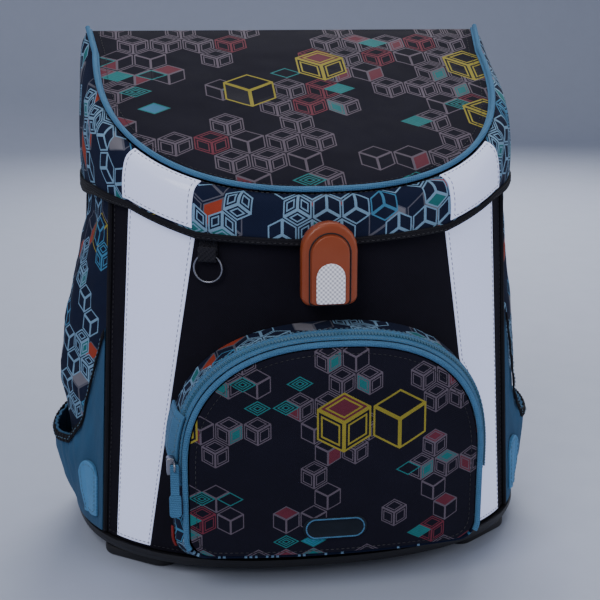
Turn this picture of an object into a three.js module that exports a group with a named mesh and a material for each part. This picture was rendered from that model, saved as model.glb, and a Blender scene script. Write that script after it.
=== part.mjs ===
// A child's rigid school satchel with a slanting lid, a domed front pocket and two side pockets.
// Millimetres. X runs to the right seen from the front, Y towards the wearer's back, Z up.
import * as THREE from "three";
import { mergeVertices } from "three/addons/utils/BufferGeometryUtils.js";
import { RoundedBoxGeometry } from "three/addons/geometries/RoundedBoxGeometry.js";

// Case
const BACK_HEIGHT = 375; // floor to the back edge of the lid
const LID_FALL = 98; // drop of the lid from its back edge to its front edge
const CASE_DEPTH = 182; // back plane to the middle of the front
const BASE_WIDTH = 346; // case at the floor, pockets left out
const TOP_WIDTH = 297; // case at the height of the lid's back edge
const FRONT_REACH = 140; // depth of the rounded front half of the plan
const FRONT_POWER = 2.4; // squareness of the rounded front
const BACK_CORNER = 15;
const WALL = 4; // padded board
const RIM_DROP = 18; // case rim below the lid's plane
const SEAM_ANGLE = 60; // front corner seam, degrees round from the middle of the front
const LEFT_BULGE = 18; // the soft sides stand out unevenly
const RIGHT_BULGE = 9;

// Base
const FOOT_HEIGHT = 8;
const FOOT_LENGTH = 62;
const FOOT_WIDTH = 30;
const TRAY_HEIGHT = 9;
const TRAY_WALL = 3.5;
const TRAY_ROUND = 8; // how far the tray's bottom edge curls in

// Lid
const LID_BACK_WIDTH = 306;
const LID_SIDE_WIDTH = 296; // where the rounded front starts
const LID_REACH = 150; // depth of the rounded front of the lid
const LID_POWER = 2.4;
const LID_WALL = 4.5;
const LID_INSET = 3.6; // lid board inside its edge seam
const BAND_WALL = 2.5;
const BAND_OUT = 5.3; // hem of the band outside the front of the case
const BAND_SIDE_OUT = 3.8; // and outside its corners and sides
const BAND_FRONT_DROP = 34; // lid edge down to the hem at the middle of the front
const BINDING_THICK = 0.8;
const PIPING_RADIUS = 1.9;

// Reflectors
const REFLECTOR_THICK = 0.6;
const REFLECTOR_INNER_TOP = 28; // degrees round from the middle of the front
const REFLECTOR_INNER_FOOT = 41;
const REFLECTOR_OUTER_TOP = 51;
const REFLECTOR_OUTER_FOOT = 54;
const REFLECTOR_FOOT_RISE = 3; // above the tray's rim
const REFLECTOR_UNDER_HEM = 8; // reach behind the lid's hem

// Clasp
const CLASP_WIDTH = 37;
const CLASP_HEIGHT = 55;
const CLASP_THICK = 11;
const CLASP_BELOW_HEM = 37;
const TONGUE_WIDTH = 25;
const TONGUE_HEIGHT = 46;
const TONGUE_RISE = 2.4;
const WINDOW_WIDTH = 19;
const WINDOW_HEIGHT = 27;
const WINDOW_THICK = 1.2;
const CATCH_WIDTH = 30;
const CATCH_HEIGHT = 24;

// Front pocket
const POCKET_WIDTH = 204;
const POCKET_CENTRE = 4; // the pocket sits a little to one side
const POCKET_BELOW_CLASP = 15; // from the clasp's foot down to the gusset's arch
const POCKET_FOOT = 32;
const POCKET_SPRING = 95; // height where the arch starts
const POCKET_POWER = 2.4;
const POCKET_CORNER = 14;
const POCKET_DEPTH = 31; // case to the middle of the pocket's face
const POCKET_BOW = 10; // the face's middle stands this far ahead of its sides
const POCKET_FLARE = 7; // gusset wider at the case than at the face
const GUSSET_DROP = 13; // gusset's foot below the face's foot at the case
const POCKET_WALL = 2.5;
const ZIP_WALL = 1.2;
const ZIP_PIPING_RADIUS = 2;
const PULLER_LENGTH = 38;
const PULLER_WIDTH = 8;
const TAB_THICK = 2;
const BADGE_WIDTH = 44;
const BADGE_HEIGHT = 15;
const BADGE_RISE = 23; // badge's middle above the pocket's foot
const SIDE_TAG_HEIGHT = 16;

// Side pockets
const LEFT_POCKET_BULGE = 21.5; // outside the straight wall of the case
const RIGHT_POCKET_BULGE = 16;
const SIDE_POCKET_HIGH = 174; // mouth at the front seam
const SIDE_POCKET_FOOT = 18;
const SIDE_POCKET_WALL = 2;
const SIDE_HEM = 6;
const PLEAT_WIDTH = 14;
const PLEAT_HEIGHT = 42;
const PLEAT_FOOT = 28;

// Key ring
const RING_RADIUS = 9.5;
const RING_WIRE = 1.2;
const RING_X = -76;
const RING_BELOW_HEM = 15; // ring's middle under the band's hem
const LOOP_WIDTH = 12;
const WEBBING = 1.6;

// Back
const PAD_WIDTH = 200;
const PAD_FOOT = 36;
const PAD_TOP = BACK_HEIGHT - 63; // clear of the handle's ends
const PAD_THICK = 11;
const STRAP_WIDTH = 60;
const STRAP_END_WIDTH = 36;
const STRAP_THICK = 10;
const STRAP_APART = 88; // between the middles of the straps at the top
const STRAP_TOP = BACK_HEIGHT - 31;
const STRAP_SAG = 32; // how far the straps stand off the pad
const STRAP_FOOT = 116;
const STRAP_WEBBING_WIDTH = 25;
const WEBBING_SPREAD = 20; // how far out the webbing's foot stands
const HANDLE_WIDTH = 92;
const HANDLE_REACH = 20;
const HANDLE_RADIUS = 4.5;
const HANDLE_Z = BACK_HEIGHT - 19;

// Clearances
const GAP = 0.3; // between pieces that meet
const LAP = 0.6; // between a trim and the curved skin under it

const BACK = CASE_DEPTH / 2 - 1;
const FRONT = BACK - CASE_DEPTH;
const ROUND_Y = FRONT + FRONT_REACH;
const LID_FRONT = FRONT;
const LID_ROUND_Y = LID_FRONT + LID_REACH;
const TRAY_TOP = FOOT_HEIGHT + TRAY_HEIGHT;
const PANEL_FOOT = TRAY_TOP + GAP;
const SIDE_BACK = BACK - BACK_CORNER;
const SEAM = THREE.MathUtils.degToRad(SEAM_ANGLE);
const HEM_FRONT = BACK_HEIGHT - LID_FALL - BAND_FRONT_DROP; // band's hem in the middle of the front
const CLASP_FOOT = HEM_FRONT - CLASP_BELOW_HEM;
const POCKET_TOP = CLASP_FOOT - POCKET_BELOW_CLASP - POCKET_FLARE;
const RING_Z = HEM_FRONT - RING_BELOW_HEM;
const HEART = new THREE.Vector3(0, 0, BACK_HEIGHT / 2);

const { lerp, clamp, degToRad } = THREE.MathUtils;
const vec = (x, y, z) => new THREE.Vector3(x, y, z);
const power = (value, exponent) => Math.sign(value) * Math.abs(value) ** exponent;

// Reads a column of a table whose rows are ordered by their column "at", straight between rows.
function read(table, at, column) {
  const next = table.findIndex((row) => row.at >= at);
  if (next === 0) return table[0][column];
  if (next < 0) return table[table.length - 1][column];
  const [low, high] = [table[next - 1], table[next]];
  return lerp(low[column], high[column], (at - low.at) / (high.at - low.at));
}

// Solids from surfaces

const STEP = 1e-3; // share of a surface over which its slope is measured

// The unit normal of a surface at two shares, on the side away from the heart.
function normalAt(surface, u, v, heart) {
  const across = surface(Math.min(u + STEP, 1), v).sub(surface(Math.max(u - STEP, 0), v));
  const along = surface(u, Math.min(v + STEP, 1)).sub(surface(u, Math.max(v - STEP, 0)));
  const normal = across.cross(along).normalize();
  return normal.dot(surface(u, v).sub(heart)) < 0 ? normal.negate() : normal;
}

// Turns a list of triangles round if they enclose a negative volume.
function facingOut(positions, triangles) {
  let volume = 0;
  for (const [a, b, c] of triangles) {
    volume += positions[a].dot(positions[b].clone().cross(positions[c]));
  }
  return volume < 0 ? triangles.map(([a, b, c]) => [a, c, b]) : triangles;
}

function geometryOf(positions, triangles) {
  const geometry = new THREE.BufferGeometry().setFromPoints(positions);
  geometry.setIndex(facingOut(positions, triangles).flat());
  const merged = mergeVertices(geometry, 1e-4);
  const index = [...merged.index.array];
  const kept = [];
  for (let i = 0; i < index.length; i += 3) {
    const [a, b, c] = index.slice(i, i + 3);
    if (a !== b && b !== c && c !== a) kept.push(a, b, c);
  }
  merged.setIndex(kept);
  merged.computeVertexNormals();
  return merged;
}

// A closed solid between two offsets of a surface of two shares. A ring joins its first and last columns,
// and a fan is a ring that shrinks to a point at v = 0.
function layer(surface, { steps, from, to, u = [0, 1], v = [0, 1], ring, fan, heart = HEART }) {
  const [columns, rows] = steps;
  const closed = ring || fan;
  const positions = [];
  const width = columns + 1;
  for (const offset of [to, from]) {
    for (let j = 0; j <= rows; j++) {
      for (let i = 0; i <= columns; i++) {
        const share = [lerp(...u, closed ? (i % columns) / columns : i / columns), lerp(...v, j / rows)];
        const measured = fan && j === 0 ? [0, 2 * STEP] : share;
        const normal = normalAt(surface, ...measured, heart);
        positions.push(surface(...share).addScaledVector(normal, offset));
      }
    }
  }
  const inner = width * (rows + 1);
  const triangles = [];
  const quad = (a, b, c, d) => triangles.push([a, b, c], [a, c, d]);
  const at = (i, j) => j * width + i;
  for (let j = 0; j < rows; j++) {
    for (let i = 0; i < columns; i++) {
      const corners = [at(i, j), at(i + 1, j), at(i + 1, j + 1), at(i, j + 1)];
      quad(...corners);
      quad(...corners.map((n) => n + inner).reverse());
    }
  }
  for (let i = 0; i < columns; i++) {
    quad(at(i + 1, 0), at(i, 0), at(i, 0) + inner, at(i + 1, 0) + inner);
    quad(at(i, rows), at(i + 1, rows), at(i + 1, rows) + inner, at(i, rows) + inner);
  }
  if (!closed) {
    for (let j = 0; j < rows; j++) {
      quad(at(0, j), at(0, j + 1), at(0, j + 1) + inner, at(0, j) + inner);
      quad(at(columns, j + 1), at(columns, j), at(columns, j) + inner, at(columns, j + 1) + inner);
    }
  }
  return geometryOf(positions, triangles);
}

// A round cord of many flats through points.
function cordThrough(points, radius, steps, sides = 6) {
  const section = new THREE.Shape();
  for (let i = 0; i < sides; i++) {
    const turn = (2 * Math.PI * (i + 0.5)) / sides;
    section[i ? "lineTo" : "moveTo"](radius * Math.cos(turn), radius * Math.sin(turn));
  }
  section.closePath();
  const path = new THREE.CatmullRomCurve3(points, false, "centripetal");
  return new THREE.ExtrudeGeometry(section, { steps, bevelEnabled: false, extrudePath: path });
}

// A plate standing in the XZ plane, with its front face at y and its back at y + thick.
function plate(shape, thick, y, curveSegments = 5) {
  const geometry = new THREE.ExtrudeGeometry(shape, { depth: thick, bevelEnabled: false, curveSegments });
  return geometry.rotateX(Math.PI / 2).translate(0, y + thick, 0);
}

// Case

const caseHalf = (z) => lerp(BASE_WIDTH, TOP_WIDTH, z / BACK_HEIGHT) / 2;
const lidHeight = (y) => BACK_HEIGHT - (LID_FALL * (BACK - y)) / CASE_DEPTH;
const LID_SLOPE = Math.atan(LID_FALL / CASE_DEPTH);
const rimHeight = (y) => lidHeight(y) - RIM_DROP;

// The rounded front half of the plan, at an angle round from the middle of the front.
function frontPoint(angle, z, out = 0) {
  const x = (caseHalf(z) + out) * power(Math.sin(angle), 2 / FRONT_POWER);
  const y = ROUND_Y - (FRONT_REACH + out) * power(Math.cos(angle), 2 / FRONT_POWER);
  return vec(x, y, z);
}

const SEAM_Y = frontPoint(SEAM, 0).y;

// Half the width of the straight-walled case at a depth and height.
function planHalf(y, z, out = 0) {
  const ahead = clamp((ROUND_Y - y) / (FRONT_REACH + out), 0, 1);
  return (caseHalf(z) + out) * (1 - ahead ** FRONT_POWER) ** (1 / FRONT_POWER);
}

// How far the side panel stands out, by share of the height of its middle.
const SIDE_PROFILE = [
  { at: 0.04, out: 0.1 },
  { at: 0.1, out: 0.24 },
  { at: 0.18, out: 0.42 },
  { at: 0.26, out: 0.72 },
  { at: 0.32, out: 0.95 },
  { at: 0.38, out: 1 },
  { at: 0.46, out: 0.9 },
  { at: 0.53, out: 0.66 },
  { at: 0.66, out: 0 },
];
const swell = (share) => Math.sin(Math.PI * clamp(share, 0, 1)) ** 1.2;
function sideBulge(side, share, z) {
  const full = side < 0 ? LEFT_BULGE : RIGHT_BULGE;
  return full * read(SIDE_PROFILE, z / BACK_HEIGHT, "out") * swell(share);
}

function frontPanel() {
  const surface = (u, v) => {
    const angle = lerp(-SEAM, SEAM, u);
    return frontPoint(angle, lerp(PANEL_FOOT, rimHeight(frontPoint(angle, 0).y), v));
  };
  return layer(surface, { steps: [24, 6], from: -WALL, to: 0 });
}

const sideDepth = (u) => lerp(SEAM_Y + LAP, SIDE_BACK - GAP, u);

// Half the width of the side panel's outside at a share of its depth and a height.
const sideHalf = (side, u, z) => planHalf(sideDepth(u), z) + sideBulge(side, u, z);

function sidePanel(side) {
  const surface = (u, v) => {
    const y = sideDepth(u);
    const z = lerp(PANEL_FOOT, rimHeight(y), v);
    return vec(side * sideHalf(side, u, z), y, z);
  };
  return layer(surface, { steps: [8, 12], from: -WALL, to: 0 });
}

// The back half of the plan, by share from one side panel to the other.
function backPoint(share, z, out = 0) {
  const half = caseHalf(z) + out;
  const flat = 0.2; // share given to the straight stretch
  const side = share < 0.5 ? -1 : 1;
  const from = Math.abs(share - 0.5) * 2;
  const corner = BACK_CORNER + out;
  if (from <= flat) return vec((side * (half - corner) * from) / flat, BACK + out, z);
  const turn = (Math.PI / 2) * (1 - (from - flat) / (1 - flat));
  const x = half - corner + corner * Math.cos(turn);
  return vec(side * x, SIDE_BACK + corner * Math.sin(turn), z);
}

// The back panel carries the lid board, so its top lies just under the board.
const backTop = (y) => lidHeight(y - WALL) - LID_WALL / Math.cos(LID_SLOPE) - GAP;

function backPanel() {
  const surface = (u, v) => backPoint(u, lerp(PANEL_FOOT, backTop(backPoint(u, 0).y), v));
  return layer(surface, { steps: [10, 2], from: -WALL, to: 0 });
}

// Base

// The whole plan of the case, once round from the middle of the front.
function planPoint(share, z, out = 0) {
  const turn = share < 0.5 ? share * 2 : (1 - share) * 2;
  const side = share < 0.5 ? 1 : -1;
  let point;
  if (turn < 0.5) point = frontPoint(turn * Math.PI, z, out);
  else if (turn < 0.7) {
    const y = lerp(ROUND_Y, SIDE_BACK, (turn - 0.5) / 0.2);
    point = vec(caseHalf(z) + out, y, z);
  } else point = backPoint(1 - (turn - 0.7) / 0.6, z, out);
  return vec(side * point.x, point.y, z);
}

// Rim to underside: share of the tray's height below its rim, and of its curl.
const TRAY_PROFILE = [
  { at: 0, down: 0, curl: -0.4 },
  { at: 0.2, down: 0.35, curl: -0.4 },
  { at: 0.4, down: 0.72, curl: -0.2 },
  { at: 0.6, down: 0.93, curl: 0.3 },
  { at: 0.8, down: 1, curl: 1 },
];

function baseTray() {
  const surface = (u, v) => {
    const row = 1 - v;
    const z = TRAY_TOP - TRAY_HEIGHT * read(TRAY_PROFILE, row, "down");
    const rim = planPoint(u, z, -TRAY_ROUND * read(TRAY_PROFILE, row, "curl"));
    const last = TRAY_PROFILE[TRAY_PROFILE.length - 1].at;
    const shrink = row > last ? (1 - row) / (1 - last) : 1;
    return vec(rim.x * shrink, rim.y * shrink, z);
  };
  return layer(surface, { steps: [48, 5], from: -TRAY_WALL, to: 0, fan: true });
}

function foot(side, end) {
  const geometry = new RoundedBoxGeometry(FOOT_LENGTH, FOOT_WIDTH, FOOT_HEIGHT - GAP, 1, 2.5);
  const angle = end === "front" ? SEAM * 0.85 : SEAM;
  const place = frontPoint(angle, 0, -TRAY_ROUND - FOOT_WIDTH * 0.35);
  const y = end === "front" ? place.y : SIDE_BACK - FOOT_WIDTH;
  geometry.rotateZ(side * (end === "front" ? SEAM * 0.6 : -SEAM * 0.6));
  return geometry.translate(side * place.x, y, (FOOT_HEIGHT - GAP) / 2);
}

// Lid

const LID_FRONT_SHARE = 2 / 3; // share of the lid's edge given to its rounded front

// The edge of the lid in plan, by share from the middle of its front to its back edge.
function lidEdge(share, inset = 0) {
  const from = Math.abs(share);
  const side = Math.sign(share);
  const half = LID_SIDE_WIDTH / 2 - inset;
  if (from < LID_FRONT_SHARE) {
    const angle = (from / LID_FRONT_SHARE) * (Math.PI / 2);
    const x = half * power(Math.sin(angle), 2 / LID_POWER);
    return vec(side * x, LID_ROUND_Y - (LID_REACH - inset) * power(Math.cos(angle), 2 / LID_POWER), 0);
  }
  const along = (from - LID_FRONT_SHARE) / (1 - LID_FRONT_SHARE);
  return vec(side * lerp(half, LID_BACK_WIDTH / 2 - inset, along), lerp(LID_ROUND_Y, BACK, along), 0);
}

const LID_COLUMNS = 48;
const LID_EDGE_SHARE = 5 / 6; // share of the board's outline that isn't its straight back edge

function lidTop() {
  const middle = vec(0, (BACK + LID_FRONT) / 2, 0);
  const surface = (u, v) => {
    const edge = lidEdge(lerp(-1, 1, Math.min(u / LID_EDGE_SHARE, 1)), LID_INSET);
    if (u > LID_EDGE_SHARE) edge.x *= 1 - (2 * (u - LID_EDGE_SHARE)) / (1 - LID_EDGE_SHARE);
    const point = middle.clone().lerp(edge, v);
    return point.setZ(lidHeight(point.y));
  };
  return layer(surface, { steps: [LID_COLUMNS, 1], from: -LID_WALL, to: 0, fan: true });
}

function lidPiping() {
  const points = [];
  for (let i = -20; i <= 20; i++) {
    const point = lidEdge(i / 20, PIPING_RADIUS / 2);
    points.push(point.setZ(lidHeight(point.y) + PIPING_RADIUS / Math.cos(LID_SLOPE)));
  }
  return cordThrough(points, PIPING_RADIUS, 42);
}

// Height of the band's hem, as shares of the lid's height at the middle of its front.
const BAND_HEM = [
  { at: 0, height: 0 },
  { at: 0.2, height: 0.14 },
  { at: 0.36, height: 0.6 },
  { at: 0.5, height: 0.7 },
  { at: 0.75, height: 0.5 },
  { at: 1, height: 0.4 },
];
const hemHeight = (share) => {
  const front = lidHeight(LID_FRONT) - BAND_FRONT_DROP;
  return front + BAND_FRONT_DROP * read(BAND_HEM, Math.abs(share), "height");
};

function bandHem(share) {
  const from = Math.abs(share);
  const side = Math.sign(share);
  const z = hemHeight(share);
  const out = lerp(BAND_OUT, BAND_SIDE_OUT, clamp((from - 0.2) / 0.2, 0, 1));
  if (from < LID_FRONT_SHARE) {
    return frontPoint((side * from * (Math.PI / 2)) / LID_FRONT_SHARE, z, out);
  }
  const along = (from - LID_FRONT_SHARE) / (1 - LID_FRONT_SHARE);
  return vec(side * (caseHalf(z) + out), lerp(ROUND_Y, SIDE_BACK + WALL, along), z);
}

// The band's section from the lid's edge down to its hem.
const BAND_PROFILE = [
  { at: 0, down: 0.01, out: 0 },
  { at: 1 / 6, down: 0.07, out: 0.5 },
  { at: 2 / 6, down: 0.18, out: 0.82 },
  { at: 3 / 6, down: 0.42, out: 1.02 },
  { at: 4 / 6, down: 0.68, out: 1.08 },
  { at: 5 / 6, down: 0.86, out: 1.06 },
  { at: 1, down: 1, out: 1 },
];
const BAND_COLUMNS = 36;

function bandSurface(u, v) {
  const share = lerp(-1, 1, u);
  const top = lidEdge(share);
  const hem = bandHem(share);
  const out = read(BAND_PROFILE, v, "out");
  return vec(
    lerp(top.x, hem.x, out),
    lerp(top.y, hem.y, out),
    lerp(lidHeight(top.y), hem.z, read(BAND_PROFILE, v, "down")),
  );
}

const lidBand = () => layer(bandSurface, { steps: [BAND_COLUMNS, 6], from: -BAND_WALL, to: 0 });
const lidBinding = () =>
  layer(bandSurface, { steps: [BAND_COLUMNS, 1], v: [5 / 6, 1], from: LAP, to: LAP + BINDING_THICK });

// Columns of the band that a lid reflector covers, from the middle of its front.
function lidReflector(side) {
  const angleShare = (angle) => (LID_FRONT_SHARE * angle) / 90 / 2;
  const span = [REFLECTOR_INNER_TOP, REFLECTOR_OUTER_TOP].map((angle) => 0.5 + side * angleShare(angle));
  return layer(bandSurface, {
    steps: [4, 5],
    u: side > 0 ? span : span.reverse(),
    v: [1 / 18, 5 / 6 - 1 / 25],
    from: LAP,
    to: LAP + REFLECTOR_THICK,
  });
}

// The angle of a place across the case's front.
const angleAt = (x, z) => Math.asin(clamp(x / caseHalf(z), 0, 1) ** (FRONT_POWER / 2));

// How far the front pocket reaches to one side where it meets the case.
function pocketReach(side, z) {
  const half = POCKET_WIDTH / 2 + POCKET_FLARE;
  const rise = clamp((z - POCKET_SPRING) / (POCKET_TOP + POCKET_FLARE - POCKET_SPRING), 0, 1);
  return side * POCKET_CENTRE + half * (1 - rise ** POCKET_POWER) ** (1 / POCKET_POWER);
}

// A flat reflector on the front corner of the case, clear of the pocket.
function bodyReflector(side) {
  const foot = TRAY_TOP + REFLECTOR_FOOT_RISE;
  const surface = (u, v) => {
    const plain = degToRad(lerp(REFLECTOR_INNER_FOOT, REFLECTOR_INNER_TOP, v));
    const z = lerp(foot, hemHeight((LID_FRONT_SHARE * plain) / (Math.PI / 2)) + REFLECTOR_UNDER_HEM, v);
    const inner = Math.max(plain, angleAt(pocketReach(side, z) + 2 * LAP, z));
    const angle = lerp(inner, degToRad(lerp(REFLECTOR_OUTER_FOOT, REFLECTOR_OUTER_TOP, v)), u);
    const top = hemHeight((LID_FRONT_SHARE * angle) / (Math.PI / 2)) + REFLECTOR_UNDER_HEM;
    return frontPoint(side * angle, lerp(foot, top, v));
  };
  return layer(surface, { steps: [4, 8], from: LAP, to: LAP + REFLECTOR_THICK });
}

// Clasp

const BAND_FACE = FRONT - BAND_OUT * Math.max(...BAND_PROFILE.map((row) => row.out));
const CLASP_BACK = BAND_FACE - LAP - BINDING_THICK;

// An outline with a rounded arch on top and small round corners at its foot.
function archShape(width, height, foot, corner) {
  const half = width / 2;
  const shape = new THREE.Shape();
  shape.moveTo(-half + corner, foot);
  shape.lineTo(half - corner, foot);
  shape.absarc(half - corner, foot + corner, corner, -Math.PI / 2, 0);
  shape.lineTo(half, foot + height - half);
  shape.absarc(0, foot + height - half, half, 0, Math.PI);
  shape.lineTo(-half, foot + corner);
  shape.absarc(-half + corner, foot + corner, corner, Math.PI, 1.5 * Math.PI);
  return shape;
}

function claspBody() {
  return plate(archShape(CLASP_WIDTH, CLASP_HEIGHT, CLASP_FOOT, 6), CLASP_THICK, CLASP_BACK - CLASP_THICK);
}

const CLASP_FACE = CLASP_BACK - CLASP_THICK - GAP;
const claspTongue = () =>
  plate(archShape(TONGUE_WIDTH, TONGUE_HEIGHT, CLASP_FOOT + 1, 3), TONGUE_RISE, CLASP_FACE - TONGUE_RISE);

function claspWindow() {
  const y = CLASP_FACE - TONGUE_RISE - GAP - WINDOW_THICK;
  return plate(archShape(WINDOW_WIDTH, WINDOW_HEIGHT, CLASP_FOOT + 2, 2), WINDOW_THICK, y);
}

function claspCatch() {
  const depth = FRONT - GAP - CLASP_BACK - GAP;
  const geometry = new THREE.BoxGeometry(CATCH_WIDTH, depth, CATCH_HEIGHT);
  return geometry.translate(0, FRONT - GAP - depth / 2, CLASP_FOOT + CATCH_HEIGHT / 2 + 3);
}

// Front pocket

const POCKET_FRONT = FRONT - POCKET_DEPTH;
const POCKET_COLUMNS = 48;
const FOOT_SHARE = 4 / POCKET_COLUMNS;
const CORNER_SHARE = 7 / POCKET_COLUMNS;
const SPRING_SHARE = 12 / POCKET_COLUMNS;
const POCKET_HEART = vec(POCKET_CENTRE, FRONT, POCKET_SPRING);

// The pocket's closed outline, once round from the middle of its foot, grown on every side but the foot.
function pocketOutline(share, grow, drop) {
  const turn = share < 0.5 ? share : 1 - share;
  const side = share < 0.5 ? 1 : -1;
  const half = POCKET_WIDTH / 2 + grow;
  const foot = POCKET_FOOT - drop;
  let [x, z] = [half, foot];
  if (turn < FOOT_SHARE) x = ((half - POCKET_CORNER) * turn) / FOOT_SHARE;
  else if (turn < CORNER_SHARE) {
    const angle = ((turn - FOOT_SHARE) / (CORNER_SHARE - FOOT_SHARE)) * (Math.PI / 2);
    x = half - POCKET_CORNER * (1 - Math.sin(angle));
    z = foot + POCKET_CORNER * (1 - Math.cos(angle));
  } else if (turn < SPRING_SHARE) {
    const rise = (turn - CORNER_SHARE) / (SPRING_SHARE - CORNER_SHARE);
    z = lerp(foot + POCKET_CORNER, POCKET_SPRING, rise);
  } else {
    const angle = ((turn - SPRING_SHARE) / (0.5 - SPRING_SHARE)) * (Math.PI / 2);
    x = half * power(Math.cos(angle), 2 / POCKET_POWER);
    z = POCKET_SPRING + (POCKET_TOP + grow - POCKET_SPRING) * power(Math.sin(angle), 2 / POCKET_POWER);
  }
  return vec(POCKET_CENTRE + side * x, 0, z);
}

const faceDepth = (x) => POCKET_FRONT + POCKET_BOW * ((2 * (x - POCKET_CENTRE)) / POCKET_WIDTH) ** 2;

// The case's front surface at a place across it.
function caseFront(x, z) {
  const share = clamp(Math.abs(x) / caseHalf(z), 0, 1);
  return ROUND_Y - FRONT_REACH * (1 - share ** FRONT_POWER) ** (1 / FRONT_POWER);
}

// From the face back to the case: shares of the depth, of the flare and of the drop of the foot.
const GUSSET_PROFILE = [
  { at: 0, back: 0, flare: 0, drop: 0 },
  { at: 1 / 3, back: 0.28, flare: 0.85, drop: 0.12 },
  { at: 1, back: 1, flare: 1, drop: 1 },
];
const GUSSET_START = ZIP_PIPING_RADIUS + 1;

function gussetSurface(u, v) {
  const flare = POCKET_FLARE * read(GUSSET_PROFILE, v, "flare");
  const point = pocketOutline(u, flare, GUSSET_DROP * read(GUSSET_PROFILE, v, "drop"));
  const inner = Math.abs(point.x) - 1.5 * POCKET_WALL;
  const floor = Math.min(u, 1 - u) < CORNER_SHARE ? (POCKET_WALL * GUSSET_DROP) / POCKET_DEPTH : 0;
  const seat = caseFront(Math.max(inner, 0), point.z) - GAP - floor;
  const start = faceDepth(point.x) + GUSSET_START;
  return point.setY(lerp(start, seat, read(GUSSET_PROFILE, v, "back")));
}

const pocketGusset = () =>
  layer(gussetSurface, {
    steps: [POCKET_COLUMNS, 3],
    from: -POCKET_WALL,
    to: 0,
    ring: true,
    heart: POCKET_HEART,
  });

const pocketZip = () =>
  layer(gussetSurface, {
    steps: [26, 1],
    u: [11 / POCKET_COLUMNS, 37 / POCKET_COLUMNS],
    v: [0.02, 0.31],
    from: LAP,
    to: LAP + ZIP_WALL,
    heart: POCKET_HEART,
  });

const FACE_INSET = ZIP_PIPING_RADIUS + 1.2;

function pocketFace() {
  const surface = (u, v) => {
    const point = vec(POCKET_CENTRE, 0, POCKET_SPRING).lerp(pocketOutline(u, -FACE_INSET, -FACE_INSET), v);
    return point.setY(faceDepth(point.x));
  };
  const steps = [POCKET_COLUMNS, 3];
  return layer(surface, { steps, from: -POCKET_WALL, to: 0, fan: true, heart: POCKET_HEART });
}

function pocketPiping() {
  const points = [];
  for (let i = 6; i <= 42; i++) {
    const point = pocketOutline(i / POCKET_COLUMNS, -0.6, -0.6);
    points.push(point.setY(faceDepth(point.x) + 0.5));
  }
  return cordThrough(points, ZIP_PIPING_RADIUS, 44);
}

// The left end of the zip, just outside its tape.
const ZIP_END = gussetSurface(36 / POCKET_COLUMNS, 0.2).add(vec(-1.5 * (LAP + ZIP_WALL), 0, 0));
const PULLER_THICK = 2;
const PULLER_Y = faceDepth(ZIP_END.x) - ZIP_PIPING_RADIUS - GAP - PULLER_THICK / 2;

function zipSlider() {
  const [width, depth, height] = [5, 7, 12];
  const geometry = new RoundedBoxGeometry(width, depth, height, 1, 1);
  const y = PULLER_Y + PULLER_THICK / 2 + GAP + depth / 2;
  return geometry.translate(ZIP_END.x - width / 2, y, ZIP_END.z + height / 2);
}

function zipPuller() {
  const geometry = new THREE.BoxGeometry(PULLER_WIDTH, PULLER_THICK, PULLER_LENGTH);
  return geometry.translate(ZIP_END.x, PULLER_Y, ZIP_END.z + 8 - PULLER_LENGTH / 2);
}

// A short tab of webbing over the tape where the zip ends.
const zipEndTab = () =>
  layer(gussetSurface, {
    steps: [4, 3],
    u: [33.2 / POCKET_COLUMNS, 35.6 / POCKET_COLUMNS],
    v: [0.06, 0.8],
    from: 2 * LAP + ZIP_WALL,
    to: 2 * LAP + ZIP_WALL + TAB_THICK,
    heart: POCKET_HEART,
  });

function pocketBadge() {
  const [half, end] = [BADGE_WIDTH / 2, BADGE_HEIGHT / 2];
  const shape = new THREE.Shape();
  shape.absarc(half - end, 0, end, -Math.PI / 2, Math.PI / 2);
  shape.absarc(-half + end, 0, end, Math.PI / 2, 1.5 * Math.PI);
  return plate(shape, 1.2, 0).translate(POCKET_CENTRE - 2, POCKET_FRONT - GAP - 1.2, POCKET_FOOT + BADGE_RISE);
}

function sideTag() {
  const middle = 41.2 / POCKET_COLUMNS;
  const reach = (0.5 * SIDE_TAG_HEIGHT) / 10 / POCKET_COLUMNS;
  return layer(gussetSurface, {
    steps: [2, 1],
    u: [middle - reach, middle + reach],
    v: [0.5, 0.9],
    from: LAP,
    to: LAP + 1,
    heart: POCKET_HEART,
  });
}

// Key ring, in a frame of its own whose Y = 0 lies on the case

const RING_OUT = GAP + WEBBING + RING_WIRE + GAP;

function placeOnCase(geometry) {
  const [left, right] = [caseFront(RING_X - LOOP_WIDTH, RING_Z), caseFront(RING_X + LOOP_WIDTH, RING_Z)];
  geometry.rotateZ(Math.atan2(right - left, 2 * LOOP_WIDTH));
  return geometry.translate(RING_X, caseFront(RING_X, RING_Z) - GAP, RING_Z);
}

function keyRing() {
  const geometry = new THREE.TorusGeometry(RING_RADIUS, RING_WIRE, 6, 20);
  return placeOnCase(geometry.rotateX(Math.PI / 2).translate(0, -RING_OUT, 0));
}

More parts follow.
